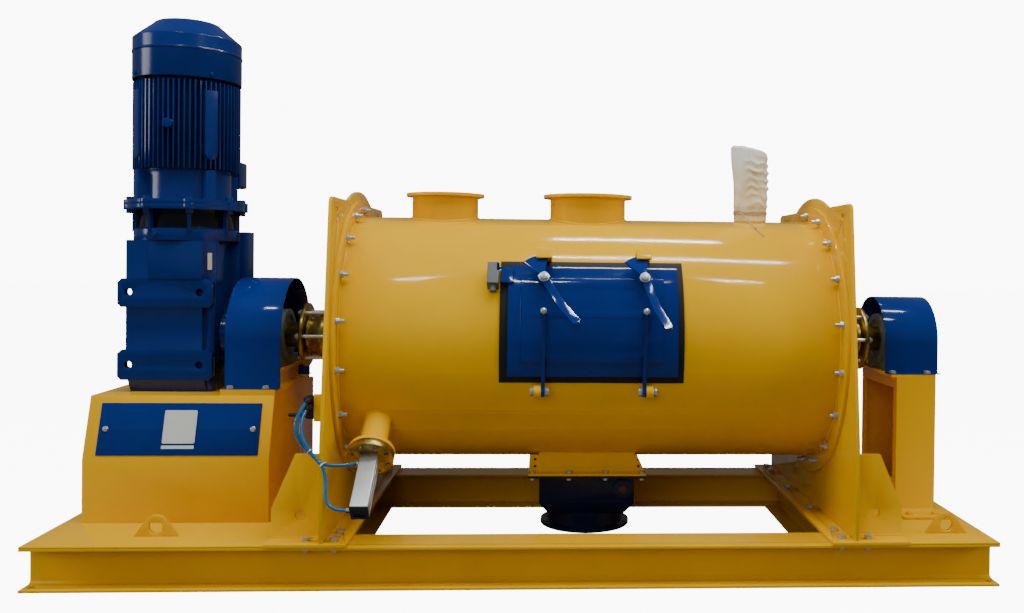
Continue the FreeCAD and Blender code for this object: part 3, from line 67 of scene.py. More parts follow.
floor_paint = bpy.data.materials.new("matt_studio_floor")
floor_paint.use_nodes = True
tree = floor_paint.node_tree
shader = tree.nodes["Principled BSDF"]
shader.inputs["Roughness"].default_value = 0.7
shader.inputs["Emission Color"].default_value = linear("#FFFFFF")
glow = add_node(tree, "ShaderNodeMapRange", {"To Min": 0.0, "To Max": 9.4},
                {"Value": add_node(tree, "ShaderNodeLightPath").outputs["Is Camera Ray"]})
tree.links.new(glow.outputs["Result"], shader.inputs["Emission Strength"])
# nearly white to the camera, the floor lights the machine's underside no more than bare concrete would
tone = add_node(tree, "ShaderNodeMapRange", {"To Min": 0.16, "To Max": 0.8},
                {"Value": add_node(tree, "ShaderNodeLightPath").outputs["Is Camera Ray"]})
tree.links.new(tone.outputs["Result"], shader.inputs["Base Color"])
floor_reach = 30.0
floor_corners = [(x * floor_reach, y * floor_reach, 0) for x, y in ((-1, -1), (1, -1), (1, 1), (-1, 1))]
floor = new_mesh_object("studio_floor", floor_corners, [(0, 1, 2, 3)])
floor.data.materials.append(floor_paint)

picture_width, picture_height = 1024, 613
focal_pixels = 943.09
centre_x, centre_y = 595.86, 270.47
film_width = 36.0
camera_data = bpy.data.cameras.new("photo_camera")
camera_data.sensor_width = film_width
camera_data.lens = focal_pixels / picture_width * film_width
camera_data.shift_x = (picture_width / 2 - centre_x) / picture_width
camera_data.shift_y = (centre_y - picture_height / 2) / picture_width
camera_data.clip_end = 200
camera = bpy.data.objects.new("photo_camera", camera_data)
yaw, pitch, roll = math.radians(3.003), math.radians(0.679), math.radians(0.641)
ahead = Vector((math.sin(yaw) * math.cos(pitch), math.cos(yaw) * math.cos(pitch), -math.sin(pitch)))
level_right = Vector((math.cos(yaw), -math.sin(yaw), 0))
level_up = level_right.cross(ahead)
right = level_right * math.cos(roll) + level_up * math.sin(roll)
up = level_up * math.cos(roll) - level_right * math.sin(roll)
camera.matrix_world = Matrix((right, up, -ahead)).transposed().to_4x4()
camera.location = (0.0642, -3.4349, 1.016)
bpy.context.scene.collection.objects.link(camera)
bpy.context.scene.camera = camera


def soft_panel(name, place, aim, width, depth, power):
    light = bpy.data.lights.new(name, "AREA")
    light.shape = "RECTANGLE"
    light.size = width
    light.size_y = depth
    light.energy = power
    lamp = bpy.data.objects.new(name, light)
    lamp.location = place
    lamp.rotation_euler = (Vector(aim) - Vector(place)).to_track_quat("-Z", "Y").to_euler()
    bpy.context.scene.collection.objects.link(lamp)
    return lamp


ceiling = soft_panel("ceiling_panel", (0.0, -1.3, 4.2), (0, 0.0, 0.8), 6.0, 1.6, 190)
ceiling.visible_glossy = False
fill = soft_panel("front_fill", (-1.5, -6.0, 2.6), (0, 0, 0.7), 4.0, 2.2, 80)
fill.visible_glossy = False
# rows of long lamps under the roof draw the thin white streaks along the drum
lamp_width = 0.07
lamp_rows = [("row_behind", (0.8, 0.9, 4.0), 1.6, 65), ("row_above", (1.1, -0.56, 4.0), 2.6, 80),
             ("row_in_front", (1.3, -2.25, 4.0), 0.9, 30), ("row_left", (-1.2, -2.25, 4.0), 0.6, 20)]
for name, place, length, power in lamp_rows:
    row = soft_panel(name, place, (place[0], place[1], 0.0), length, lamp_width, power)
    row.visible_diffuse = False
soft_panel("side_window", (-5.0, -1.2, 2.2), (0, -0.2, 1.2), 1.6, 2.2, 60)
far_window = soft_panel("far_window", (5.0, -1.6, 2.4), (0, -0.2, 0.8), 2.0, 2.2, 70)
far_window.visible_glossy = False

# the hall behind is nearly white to the camera and dim as a light, so the paint keeps its depth
surroundings = bpy.data.worlds.new("pale_hall")
surroundings.use_nodes = True
tree = surroundings.node_tree
seen = add_node(tree, "ShaderNodeLightPath").outputs["Is Camera Ray"]
level = add_node(tree, "ShaderNodeMapRange", {"To Min": 0.14, "To Max": 10.0}, {"Value": seen})
tree.nodes["Background"].inputs["Color"].default_value = linear("#FFFFFF")
tree.links.new(level.outputs["Result"], tree.nodes["Background"].inputs["Strength"])
bpy.context.scene.world = surroundings


# Air hoses. Two 11 mm polyurethane tubes run from the hand valve on the left end plate down to the two ends
# of the sampler cylinder. They leave the valve together, held by small white ties, and part near the plate.
def mottled(name, low_hex, high_hex, scale, detail, settings, spread=(0.0, 1.0), relief=None):
    # a finish that drifts between two tones, in spots of 1 / scale metres, with a relief where one is given
    material = bpy.data.materials.new(name)
    material.use_nodes = True
    tree = material.node_tree
    shader = tree.nodes["Principled BSDF"]
    place = add_node(tree, "ShaderNodeTexCoord").outputs["Object"]
    spots = add_node(tree, "ShaderNodeTexNoise", {"Scale": scale, "Detail": detail}, {"Vector": place})
    tone = add_node(tree, "ShaderNodeValToRGB", None, {"Fac": spots.outputs["Fac"]})
    for stop, position, colour in zip(tone.color_ramp.elements, spread, (low_hex, high_hex)):
        stop.position = position
        stop.color = linear(colour)
    tree.links.new(tone.outputs["Color"], shader.inputs["Base Color"])
    if relief:
        strength, distance = relief
        bump = add_node(tree, "ShaderNodeBump", {"Strength": strength, "Distance": distance},
                        {"Height": spots.outputs["Fac"]})
        tree.links.new(bump.outputs["Normal"], shader.inputs["Normal"])
    for key, value in settings.items():
        shader.inputs[key].default_value = value
    return material


def mounted(piece, body):
    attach(piece, body)


def tube(name, route, thickness, skin, roundness=4, steps=8, capped=True):
    # a round cord or hose along a smooth route
    curve = bpy.data.curves.new(name, "CURVE")
    curve.dimensions = "3D"
    curve.bevel_depth = thickness / 2
    curve.bevel_resolution = roundness
    curve.resolution_u = steps
    curve.use_fill_caps = capped
    spline = curve.splines.new("NURBS")
    spline.points.add(len(route) - 1)
    for point, place in zip(spline.points, route):
        point.co = (*place, 1.0)
    spline.order_u = 3
    spline.use_endpoint_u = True
    curve.materials.append(skin)
    cord = bpy.data.objects.new(name, curve)
    bpy.context.scene.collection.objects.link(cord)
    return cord


# the tube is faintly clear, so its blue deepens towards the edges
hose_skin = mottled("polyurethane_tube_blue", "#06507F", "#1678B4", 60.0, 3.0,
                    {"Roughness": 0.22, "Transmission Weight": 0.15, "Coat Weight": 0.3})
hose_diameter = 0.011


def air_hose(name, node, route):
    hose = tube(name, route, hose_diameter, hose_skin, roundness=6, steps=16, capped=False)
    mounted(hose, "machine")
    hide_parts(node)


upper_route = [(-0.664, -0.523, 0.567), (-0.690, -0.552, 0.524), (-0.681, -0.562, 0.464),
               (-0.626, -0.566, 0.409), (-0.590, -0.563, 0.380), (-0.515, -0.50512, 0.37751)]
lower_route = [(-0.664, -0.523, 0.545), (-0.674, -0.548, 0.516), (-0.662, -0.573, 0.465),
               (-0.627, -0.580, 0.418), (-0.593, -0.586, 0.386), (-0.583, -0.604, 0.335),
               (-0.581, -0.62403, 0.29506), (-0.555, -0.63103, 0.26856), (-0.517, -0.63103, 0.26806)]
air_hose("air_hose_upper", "hose_upper", upper_route)
air_hose("air_hose_lower", "hose_lower", lower_route)

# a milky plastic, a little glossy
white_nylon = mottled("moulded_nylon_white", "#D2D3CF", "#EDEDEA", 300.0, 2.0, {"Roughness": 0.45})
tie_inside, tie_outside, tie_half_width = 0.0057, 0.0068, 0.00125
tie_steps = 48
tie_head_out, tie_head_thick, tie_head_wide, tie_head_long = 0.0082, 0.0018, 0.0026, 0.0022


def hose_tie(name, first, second, along):
    # a flat toothed strap drawn round both hoses, with its square head on the near side
    first, second, along = Vector(first), Vector(second), Vector(along).normalized()
    span = second - first
    span -= along * span.dot(along)
    e, f = span.normalized(), along.cross(span.normalized())
    corners = [(tie_inside, -tie_half_width), (tie_outside, -tie_half_width),
               (tie_outside, tie_half_width), (tie_inside, tie_half_width)]
    vertices, faces = [], []
    for step in range(tie_steps):
        turn = math.tau * step / tie_steps
        middle = second if math.cos(turn) > 0 else first
        way = e * math.cos(turn) + f * math.sin(turn)
        vertices.extend(middle + way * reach + along * shift for reach, shift in corners)
    for step in range(tie_steps):
        a, b = 4 * step, 4 * ((step + 1) % tie_steps)
        for side in range(4):
            near = (side + 1) % 4
            faces.append((a + side, a + near, b + near, b + side))
    base = len(vertices)
    head = second + e * tie_head_out
    for z in (-1, 1):
        for x, y in ((-1, -1), (1, -1), (1, 1), (-1, 1)):
            vertices.append(head + e * tie_head_thick * x + f * tie_head_wide * y + along * tie_head_long * z)
    block = ((0, 3, 2, 1), (4, 5, 6, 7), (0, 1, 5, 4), (1, 2, 6, 5), (2, 3, 7, 6), (3, 0, 4, 7))
    faces.extend(tuple(base + corner for corner in face) for face in block)
    tie = new_mesh_object(name, vertices, faces)
    shape = bmesh.new()
    shape.from_mesh(tie.data)
    bmesh.ops.recalc_face_normals(shape, faces=shape.faces)
    shape.to_mesh(tie.data)
    shape.free()
    tie.data.materials.append(white_nylon)
    mounted(tie, "machine")


hose_tie("hose_tie_upper", (-0.6439, -0.5646, 0.4270), (-0.6386, -0.5777, 0.4337), (0.70, 0.02, -0.71))
hose_tie("hose_tie_lower", (-0.5988, -0.5610, 0.3905), (-0.6010, -0.5855, 0.3925), (0.72, -0.04, -0.69))


# Base frame. Wide-flange steel beams welded into a long rectangle, with deck plates, lifting lugs and the
# folded stand for the drive. All of it is blasted, primed and sprayed with a glossy enamel in warm yellow.
def enamel(name, body_hex, worn_hex, roughness, peel_strength=0.05, shine=0.4):
    material = bpy.data.materials.new(name)
    material.use_nodes = True
    tree = material.node_tree
    shader = tree.nodes["Principled BSDF"]
    place = add_node(tree, "ShaderNodeTexCoord").outputs["Object"]
    cloud = add_node(tree, "ShaderNodeTexNoise", {"Scale": 2.2, "Detail": 4.0, "Roughness": 0.6},
                     {"Vector": place})
    tone = add_node(tree, "ShaderNodeValToRGB", None, {"Fac": cloud.outputs["Fac"]})
    tone.color_ramp.elements[0].position = 0.3
    tone.color_ramp.elements[0].color = linear(worn_hex)
    tone.color_ramp.elements[1].position = 0.7
    tone.color_ramp.elements[1].color = linear(body_hex)
    tree.links.new(tone.outputs["Color"], shader.inputs["Base Color"])
    # spray texture: 6 mm orange peel over a slow 90 mm waviness of the plate
    peel = add_node(tree, "ShaderNodeTexNoise", {"Scale": 160.0, "Detail": 1.0}, {"Vector": place})
    wave = add_node(tree, "ShaderNodeTexNoise", {"Scale": 11.0, "Detail": 2.0}, {"Vector": place})
    slow = add_node(tree, "ShaderNodeBump", {"Strength": 0.07, "Distance": 0.004},
                    {"Height": wave.outputs["Fac"]})
    fine = add_node(tree, "ShaderNodeBump", {"Strength": peel_strength, "Distance": 0.0004},
                    {"Height": peel.outputs["Fac"], "Normal": slow.outputs["Normal"]})
    tree.links.new(fine.outputs["Normal"], shader.inputs["Normal"])
    # handling marks and dust make the gloss uneven
    marks = add_node(tree, "ShaderNodeTexNoise", {"Scale": 7.0, "Detail": 6.0, "Roughness": 0.7},
                     {"Vector": place})
    haze = add_node(tree, "ShaderNodeMapRange", {"To Min": roughness - 0.04, "To Max": roughness + 0.06},
                    {"Value": marks.outputs["Fac"]})
    tree.links.new(haze.outputs["Result"], shader.inputs["Roughness"])
    shader.inputs["Specular IOR Level"].default_value = shine
    return material


def soft_edge_tree():
    tree = bpy.data.node_groups.new("smooth_below_angle", "GeometryNodeTree")
    tree.interface.new_socket("Geometry", in_out="INPUT", socket_type="NodeSocketGeometry")
    tree.interface.new_socket("Geometry", in_out="OUTPUT", socket_type="NodeSocketGeometry")
    source = add_node(tree, "NodeGroupInput").outputs["Geometry"]
    faces = add_node(tree, "GeometryNodeSetShadeSmooth", {"Shade Smooth": True}, {"Geometry": source},
                     domain="FACE")
    angle = add_node(tree, "GeometryNodeInputMeshEdgeAngle").outputs["Unsigned Angle"]
    sharp = add_node(tree, "FunctionNodeCompare", {"B": math.radians(32)}, {"A": angle},
                     data_type="FLOAT", operation="GREATER_THAN")
    edges = add_node(tree, "GeometryNodeSetShadeSmooth", {"Shade Smooth": False},
                     {"Geometry": faces.outputs["Geometry"], "Selection": sharp.outputs["Result"]},
                     domain="EDGE")
    add_node(tree, "NodeGroupOutput", None, {"Geometry": edges.outputs["Geometry"]})
    return tree


smooth_below_angle = soft_edge_tree()


def finish(names, material, edge=0.0015):
    for name in names:
        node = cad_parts[name]
        node.data.materials.clear()
        node.data.materials.append(material)
        joined = node.modifiers.new("joined_faces", "WELD")
        joined.merge_threshold = 0.00002
        if edge > 0:
            broken = node.modifiers.new("broken_edges", "BEVEL")
            broken.width = edge
            broken.segments = 2
            broken.limit_method = "ANGLE"
            broken.angle_limit = math.radians(40)
            broken.harden_normals = False
        node.modifiers.new("smooth_faces", "NODES").node_group = smooth_below_angle


yellow_enamel = enamel("two_pack_enamel_yellow", "#EAB400", "#E0A800", 0.10, shine=0.22)
finish(["base_long_beams", "base_cross_beams", "deck_plates", "lifting_lugs", "drive_stand",
        "bearing_stand", "end_plate_left", "end_plate_right", "plate_feet"], yellow_enamel, 0.0016)


# Mixing drum. Rolled and welded steel shell between bolted end rings, with flanged nozzles, the vent, the
# sampler's tube, the hinge lugs and the discharge chute welded on. All sprayed in the frame's yellow enamel.
axis_height = 0.735
finish(["drum_shell", "drum_rings", "inlet_left", "inlet_right", "vent_spigot", "discharge_chute",
        "sampler_tube", "hinge_lugs", "catch_blocks"], yellow_enamel, 0.0012)


# Fasteners. Hexagon bolts, nuts, studs and the dome nuts of the clamps, cold formed and zinc plated, screwed
# through the rings, feet, glands and hinges. The plating is pale and bright, dulled by handling.
zinc_plate = mottled("bright_zinc_plated_steel", "#A9ADAF", "#D6D9DA", 180.0, 3.0,
                     {"Metallic": 0.7, "Roughness": 0.32})
finish(["flange_bolts", "foot_bolts", "gland_studs", "door_fasteners"], zinc_plate, 0.0006)


# Bare steel inside. Arms and forged shares on the shaft, the sampler's plunger and the discharge flap,
# machined and left bare under a film of oil, so they look grey with soft highlights.
machined_steel = mottled("turned_steel_oiled", "#6E7072", "#A7A9AB", 90.0, 5.0,
                         {"Metallic": 1.0, "Roughness": 0.38})
finish(["motor_shaft", "plough_arms", "ploughshares", "sampler_plunger", "discharge_flap"],
       machined_steel, 0.001)


# Shaft and glands. Turned steel, with the glands bolted on the end plates round the shaft and the sampler's
# flange screwed on its tube. A yellow-passivated zinc coat makes them brassy in shifting tones.
gold_zinc = mottled("yellow_passivated_zinc", "#83743A", "#C6AC60", 28.0, 3.0,
                    {"Metallic": 1.0, "Roughness": 0.3}, (0.35, 0.7))
finish(["main_shaft", "gland_housings", "gland_followers", "sampler_flange"], gold_zinc, 0.001)


# Drive. A cast-iron gearbox and a finned motor bolted together through a cast adapter, upright on the stand.
# Their dark blue enamel lies thick and pebbled on the rough castings.
def maths(tree, operation, *values):
    # a Math node; its values are numbers or the outputs of other nodes
    node = add_node(tree, "ShaderNodeMath", operation=operation)
    for place, value in enumerate(values):
        if isinstance(value, (int, float)):
            node.inputs[place].default_value = value
        else:
            tree.links.new(value, node.inputs[place])
    return node.outputs[0]


def painted_over(material, where, colour_hex):
    # another colour in the places where the mask is 1
    tree = material.node_tree
    base = tree.nodes["Principled BSDF"].inputs["Base Color"]
    skin = add_node(tree, "ShaderNodeMix", None, {"Factor": where, "A": base.links[0].from_socket},
                    data_type="RGBA")
    skin.inputs["B"].default_value = linear(colour_hex)
    tree.links.new(skin.outputs["Result"], base)


cast_body, cast_worn = "#0B2A6E", "#09215A"
cast_blue = enamel("sprayed_iron_casting_dark_blue", cast_body, cast_worn, 0.16, 0.5)
finish(["gearbox_housing", "motor_shield", "motor_frame", "terminal_box", "motor_cowl"], cast_blue, 0.0022)

# the waist between the adapter's ribs, nearer the motor's axis than their faces, is painted almost black:
# painted shade standing in for the dark inside of the open lantern
drive_x = -1.216
waist_reach, waist_low, waist_high = 0.1625, 1.108, 1.1705
waist_blue_painted_shade = enamel("sprayed_iron_casting_painted_shade_waist", cast_body, cast_worn, 0.16, 0.5)
tree = waist_blue_painted_shade.node_tree
place = add_node(tree, "ShaderNodeTexCoord").outputs["Object"]
height = add_node(tree, "ShaderNodeSeparateXYZ", None, {"Vector": place}).outputs["Z"]
spoke = add_node(tree, "ShaderNodeVectorMath", {1: (-drive_x, 0.0, 0.0)}, {0: place}, operation="ADD")
spoke = add_node(tree, "ShaderNodeVectorMath", {1: (1.0, 1.0, 0.0)}, {0: spoke.outputs["Vector"]},
                 operation="MULTIPLY")
reach = add_node(tree, "ShaderNodeVectorMath", None, {0: spoke.outputs["Vector"]}, operation="LENGTH")
inner = maths(tree, "LESS_THAN", reach.outputs["Value"], waist_reach)
band = maths(tree, "MULTIPLY", maths(tree, "GREATER_THAN", height, waist_low),
             maths(tree, "LESS_THAN", height, waist_high))
painted_over(waist_blue_painted_shade, maths(tree, "MULTIPLY", band, inner), "#04070F")
finish(["motor_adapter"], waist_blue_painted_shade, 0.0022)


# Guards, cover panel and door. Bent and rolled steel sheet, screwed, hinged or clamped in place, in a glossy
# deep blue enamel. The welded discharge housing under the drum has a darker, duller blue.
blue_enamel = enamel("two_pack_enamel_deep_blue", "#062C7A", "#042365", 0.10)
finish(["stand_cover", "coupling_drive", "coupling_driven", "guard_left", "guard_right", "door_leaf",
        "door_arms", "switch_key", "clamp_left", "clamp_right"], blue_enamel, 0.0008)
finish(["discharge_housing"], enamel("two_pack_enamel_blue_black", "#07163A", "#050F2A", 0.3), 0.0008)


# Bearings. Plummer blocks of grey iron bolted on the stands, painted light grey over the sand-cast skin,
# whose grain still shows.
def fine_grained(name, low_hex, high_hex, roughness=0.55, metallic=0.0):
    # a dull skin with grains of 4 mm, slightly raised
    return mottled(name, low_hex, high_hex, 240.0, 2.0, {"Roughness": roughness, "Metallic": metallic},
                   relief=(0.25, 0.0008))


# painted shade: the light grey paint is darkened, on both blocks, to the grey of the right block in the
# guard's shade
finish(["bearings"], fine_grained("sand_casting_grey_darkened_as_shade", "#4B5761", "#626F7A"), 0.002)


# Door seal, valve and switch. Closed-cell rubber strip glued on the shell, a moulded hand valve screwed on
# the end plate, and a die-cast switch box beside the door. All are dull, with a fine grain.
rubber = fine_grained("closed_cell_rubber_black", "#0A0A0B", "#141415", 0.75)
finish(["door_seal", "discharge_gasket"], rubber, 0.0006)
black_nylon = fine_grained("glass_filled_nylon_black", "#101113", "#1C1E20", 0.45)
finish(["valve_body", "valve_lever", "motor_fan"], black_nylon, 0.0008)
finish(["safety_switch"], fine_grained("die_cast_zinc_grey", "#505456", "#606465"), 0.0008)


# Sampler cylinder. Square extruded aluminium barrel with grooves for the sensors down its sides, clear
# anodised to a soft silver, between two end caps. The end face of the rear cap is dark: it lies furthest
# from the drum's axis, down the sampler's slope.
sampler_slope = math.radians(36.5)
rear_face = 0.7915
anodised = mottled("anodised_aluminium_extrusion", "#C6C9CA", "#DADDDD", 120.0, 2.0,
                   {"Metallic": 0.85, "Roughness": 0.42})
tree = anodised.node_tree
place = add_node(tree, "ShaderNodeTexCoord").outputs["Object"]
away = add_node(tree, "ShaderNodeVectorMath", {1: (0.0, -math.cos(sampler_slope), -math.sin(sampler_slope))},
                {0: place}, operation="DOT_PRODUCT")
beyond = maths(tree, "GREATER_THAN", away.outputs["Value"], rear_face - axis_height * math.sin(sampler_slope))
painted_over(anodised, beyond, "#2B3036")
finish(["sampler_cylinder"], anodised, 0.001)


# Discharge shaft. Bare round bar in the bosses of the discharge housing, whose sawn ends have browned with
# light rust.
finish(["flap_shaft"], fine_grained("lightly_rusted_round_bar", "#4A3524", "#6B543E", metallic=0.5), 0.001)


# Weld seams. Beads where the drum meets its end rings and nozzles, and where the feet and gussets join the
# plates, laid by hand and sprayed over with the same enamel.
def bead_tree():
    # grows a painted bead along loose edges, swelling with every drop of the weld
    tree = bpy.data.node_groups.new("painted_weld_bead", "GeometryNodeTree")
    sockets = [("Geometry", "NodeSocketGeometry", None), ("Bead Radius", "NodeSocketFloat", 0.0035),
               ("Ripple Pitch", "NodeSocketFloat", 0.006), ("Ripple Depth", "NodeSocketFloat", 0.12),
               ("Paint", "NodeSocketMaterial", None)]
    for label, kind, value in sockets:
        socket = tree.interface.new_socket(label, in_out="INPUT", socket_type=kind)
        if value is not None:
            socket.default_value = value
    tree.interface.new_socket("Geometry", in_out="OUTPUT", socket_type="NodeSocketGeometry")
    source = add_node(tree, "NodeGroupInput")
    seam = add_node(tree, "GeometryNodeMeshToCurve", None, {"Mesh": source.outputs["Geometry"]})
    seam = add_node(tree, "GeometryNodeResampleCurve", {"Length": 0.003}, {"Curve": seam.outputs["Curve"]},
                    mode="LENGTH")
    along = add_node(tree, "GeometryNodeSplineParameter").outputs["Length"]
    turns = maths(tree, "MULTIPLY", maths(tree, "DIVIDE", along, source.outputs["Ripple Pitch"]), math.tau)
    swell = maths(tree, "MULTIPLY_ADD", maths(tree, "SINE", turns), source.outputs["Ripple Depth"], 1.0)
    profile = add_node(tree, "GeometryNodeCurvePrimitiveCircle", {"Resolution": 8},
                       {"Radius": source.outputs["Bead Radius"]}, mode="RADIUS")
    bead = add_node(tree, "GeometryNodeCurveToMesh", {"Fill Caps": True},
                    {"Curve": seam.outputs["Curve"], "Profile Curve": profile.outputs["Curve"],
                     "Scale": swell})
    whole = add_node(tree, "GeometryNodeRealizeInstances", None, {"Geometry": bead.outputs["Mesh"]})
    painted = add_node(tree, "GeometryNodeSetMaterial", None,
                       {"Geometry": whole.outputs["Geometry"], "Material": source.outputs["Paint"]})
    add_node(tree, "NodeGroupOutput", None, {"Geometry": painted.outputs["Geometry"]})
    return tree


def grown(source, tree, settings):
    # the piece keeps its name and gets the node group's result as a plain mesh
    growth = source.modifiers.new(tree.name, "NODES")
    growth.node_group = tree
    for item in tree.interface.items_tree:
        if item.in_out == "INPUT" and item.name in settings:
            growth[item.identifier] = settings[item.name]
    bpy.context.view_layer.update()
    mesh = bpy.data.meshes.new_from_object(source.evaluated_get(bpy.context.evaluated_depsgraph_get()))
    source.modifiers.remove(growth)
    source.data = mesh
    mesh.shade_smooth()


shell_reach = 0.4245


def shell_height(y):
    # how far the drum's outside lies above the axis, y metres beside its crown
    return math.sqrt(shell_reach ** 2 - y ** 2)


def ring_seam(x, steps=220):
    turns = [math.tau * step / steps for step in range(steps)]
    places = [(x, shell_reach * math.sin(t), axis_height + shell_reach * math.cos(t)) for t in turns]
    return places + places[:1]


def saddle_seam(x, radius, steps=96):
    turns = [math.tau * step / steps for step in range(steps + 1)]
    places = [(x + radius * math.cos(t), radius * math.sin(t)) for t in turns]
    return [(px, py, axis_height + shell_height(py)) for px, py in places]


seams = [ring_seam(-0.5925), ring_seam(1.0225),
         saddle_seam(-0.302, 0.118), saddle_seam(0.212, 0.1365), saddle_seam(0.809, 0.0545)]
sampler_x, sampler_radius = -0.478, 0.0448
sampler_tilt = Matrix.Rotation(sampler_slope, 3, "X")
sampler_seam = []
for step in range(65):
    turn = math.tau * step / 64
    side, rise = sampler_radius * math.cos(turn), sampler_radius * math.sin(turn)
    place = sampler_tilt @ Vector((0, -shell_height(rise), rise))
    sampler_seam.append((sampler_x + side, place.y, axis_height + place.z))
seams.append(sampler_seam)
# feet and gussets stand on the outer faces of the two end plates
foot_top, foot_depth, gusset_height = 0.146, 0.159, 0.258
for side, face in ((-1, -0.617), (1, 1.047)):
    seams.append([(face + side * 0.001, y / 100, foot_top) for y in range(-54, 55)])
    for y in (-0.486, -0.474, 0.474, 0.486):
        seams.append([(face + side * 0.001, y, foot_top + gusset_height * step / 60) for step in range(61)])
        seams.append([(face + side * (0.001 + foot_depth * step / 40), y, foot_top) for step in range(41)])
# the discharge chute's two sides under the drum
for x in (0.047, 0.377):
    seams.append([(x, y / 100, axis_height - shell_height(y / 100)) for y in range(-16, 17)])
vertices, edges = [], []
for seam in seams:
    edges.extend((len(vertices) + step, len(vertices) + step + 1) for step in range(len(seam) - 1))
    vertices.extend(seam)
weld_beads = new_mesh_object("weld_beads", vertices, [], edges)
grown(weld_beads, bead_tree(), {"Bead Radius": 0.0035, "Ripple Pitch": 0.006, "Ripple Depth": 0.12,
                                "Paint": yellow_enamel})
mounted(weld_beads, "machine")


# Door pan seam. The raised pan is welded round its edge to the curved door leaf and painted over in the same
# blue. Its lower and upper edge are in degrees above the axis, the rest in metres.
pan_low, pan_high, pan_left, pan_right, pan_foot = -6.45, 29.35, -0.0155, 0.4425, 0.4388
arc = [math.radians(pan_low + (pan_high - pan_low) * step / 60) for step in range(61)]
pan_round = [(pan_left, turn) for turn in arc]
pan_round += [(pan_left + (pan_right - pan_left) * step / 60, arc[-1]) for step in range(1, 61)]
pan_round += [(pan_right, turn) for turn in arc[-2::-1]]
pan_round += [(pan_right + (pan_left - pan_right) * step / 60, arc[0]) for step in range(1, 61)]
vertices = [(x, -pan_foot * math.cos(turn), axis_height + pan_foot * math.sin(turn)) for x, turn in pan_round]
edges = [(step, step + 1) for step in range(len(vertices) - 1)]
door_pan_seam = new_mesh_object("door_pan_seam", vertices, [], edges)
grown(door_pan_seam, bead_tree(), {"Bead Radius": 0.003, "Ripple Pitch": 0.008, "Ripple Depth": 0.12,
                                   "Paint": blue_enamel})
mounted(door_pan_seam, "door")


# Filter sock. A sewn sleeve of cream needle felt pulled over the vent spigot and gathered on it with thin
# cord, its top folded shut. The left half hangs smooth beside the seam, the right half is creased sideways.
felt = bpy.data.materials.new("needle_felt_cream")
felt.use_nodes = True
tree = felt.node_tree
shader = tree.nodes["Principled BSDF"]
place = add_node(tree, "ShaderNodeTexCoord")
stain = add_node(tree, "ShaderNodeTexNoise", {"Scale": 16.0, "Detail": 4.0, "Roughness": 0.6},
                 {"Vector": place.outputs["Object"]})
cream = add_node(tree, "ShaderNodeValToRGB", None, {"Fac": stain.outputs["Fac"]})
cream.color_ramp.elements[0].position = 0.36
cream.color_ramp.elements[0].color = linear("#D6BF86")
cream.color_ramp.elements[1].position = 0.66
cream.color_ramp.elements[1].color = linear("#F0E4C4")
tree.links.new(cream.outputs["Color"], shader.inputs["Base Color"])
# painted light: the upper left, where the light falls, is painted paler and greyer than the rest
height = add_node(tree, "ShaderNodeSeparateXYZ", None, {"Vector": place.outputs["Object"]})
rise = maths(tree, "ADD", height.outputs["Z"], maths(tree, "MULTIPLY", height.outputs["X"], -1.1))
lit_upper_left = add_node(tree, "ShaderNodeMapRange", {"From Min": 0.40, "From Max": 0.56}, {"Value": rise})
painted_over(felt, lit_upper_left.outputs["Result"], "#F0F0EA")
# threads 0.9 mm apart, read from the cut of the cloth in metres
threads = {"Scale": 350.0, "Distortion": 1.5}
warp = add_node(tree, "ShaderNodeTexWave", threads, {"Vector": place.outputs["UV"]})
weft = add_node(tree, "ShaderNodeTexWave", threads, {"Vector": place.outputs["UV"]}, bands_direction="Y")
bump = add_node(tree, "ShaderNodeBump", {"Strength": 0.25, "Distance": 0.0004},
                {"Height": maths(tree, "ADD", warp.outputs["Fac"], weft.outputs["Fac"])})
tree.links.new(bump.outputs["Normal"], shader.inputs["Normal"])
shader.inputs["Roughness"].default_value = 0.88
shader.inputs["Sheen Weight"].default_value = 0.25
shader.inputs["Sheen Roughness"].default_value = 0.5

sock_x = 0.809
sock_foot = 1.1618
sock_tie = 1.193
sock_radius = 0.0573
sock_top, sock_slant, sock_lean = 1.4235, 0.0130, -0.007
sock_seam = math.radians(-99)
cut_girth, cut_side, cut_cap = 0.37, 0.25, 0.06
around, rows, cap_rows = 144, 118, 22


def fade(value, low, high):
    share = min(max((value - low) / (high - low), 0.0), 1.0)
    return share * share * (3 - 2 * share)


def sock_rim(turn):
    fold = 0.0022 * noise.noise(Vector((math.cos(turn) * 2.3, math.sin(turn) * 2.3, 4.0)))
    return sock_top - sock_slant * math.cos(turn) + fold


def sock_reach(turn, height):
    # distance of the cloth from the spigot's axis, in metres
    above = fade(height, sock_tie + 0.002, sock_tie + 0.024)
    slack = 0.0022 + 0.0046 * fade(height, 1.24, 1.40)
    pleats = 0.0008 * math.cos(turn * 23 + 2 * math.sin(turn * 3)) * (1 - above)
    right = fade(math.cos(turn + math.radians(42)), 0.1, 0.85)
    wander = noise.noise(Vector((math.cos(turn) * 1.7, math.sin(turn) * 1.7, height * 14)))
    phase = math.tau * height / 0.031 + 1.4 * math.sin(turn * 1.5 + 0.6) + 5.0 * wander
    depth = 0.75 + 1.1 * noise.noise(Vector((turn * 1.3, height * 22, 2.0)))
    crease = (0.5 + 0.5 * math.sin(phase)) ** 1.6 * depth
    folds = 0.0050 * crease * right * above * (1 - 0.85 * fade(height, 1.37, 1.415))
    billow = noise.noise(Vector((math.cos(turn) * 1.1, math.sin(turn) * 1.1, height * 9 + 7)))
    seam = 0.0021 * math.exp(-((turn - sock_seam + math.pi) % math.tau - math.pi) ** 2 / 0.0012) * above
    hem = 0.0014 * math.exp(-((height - sock_rim(turn) + 0.006) / 0.004) ** 2)
    crown = -0.0050 * fade(height, sock_rim(turn) - 0.012, sock_rim(turn)) ** 2
    return sock_radius + slack * above + pleats + folds + 0.0022 * billow * above + seam + hem + crown


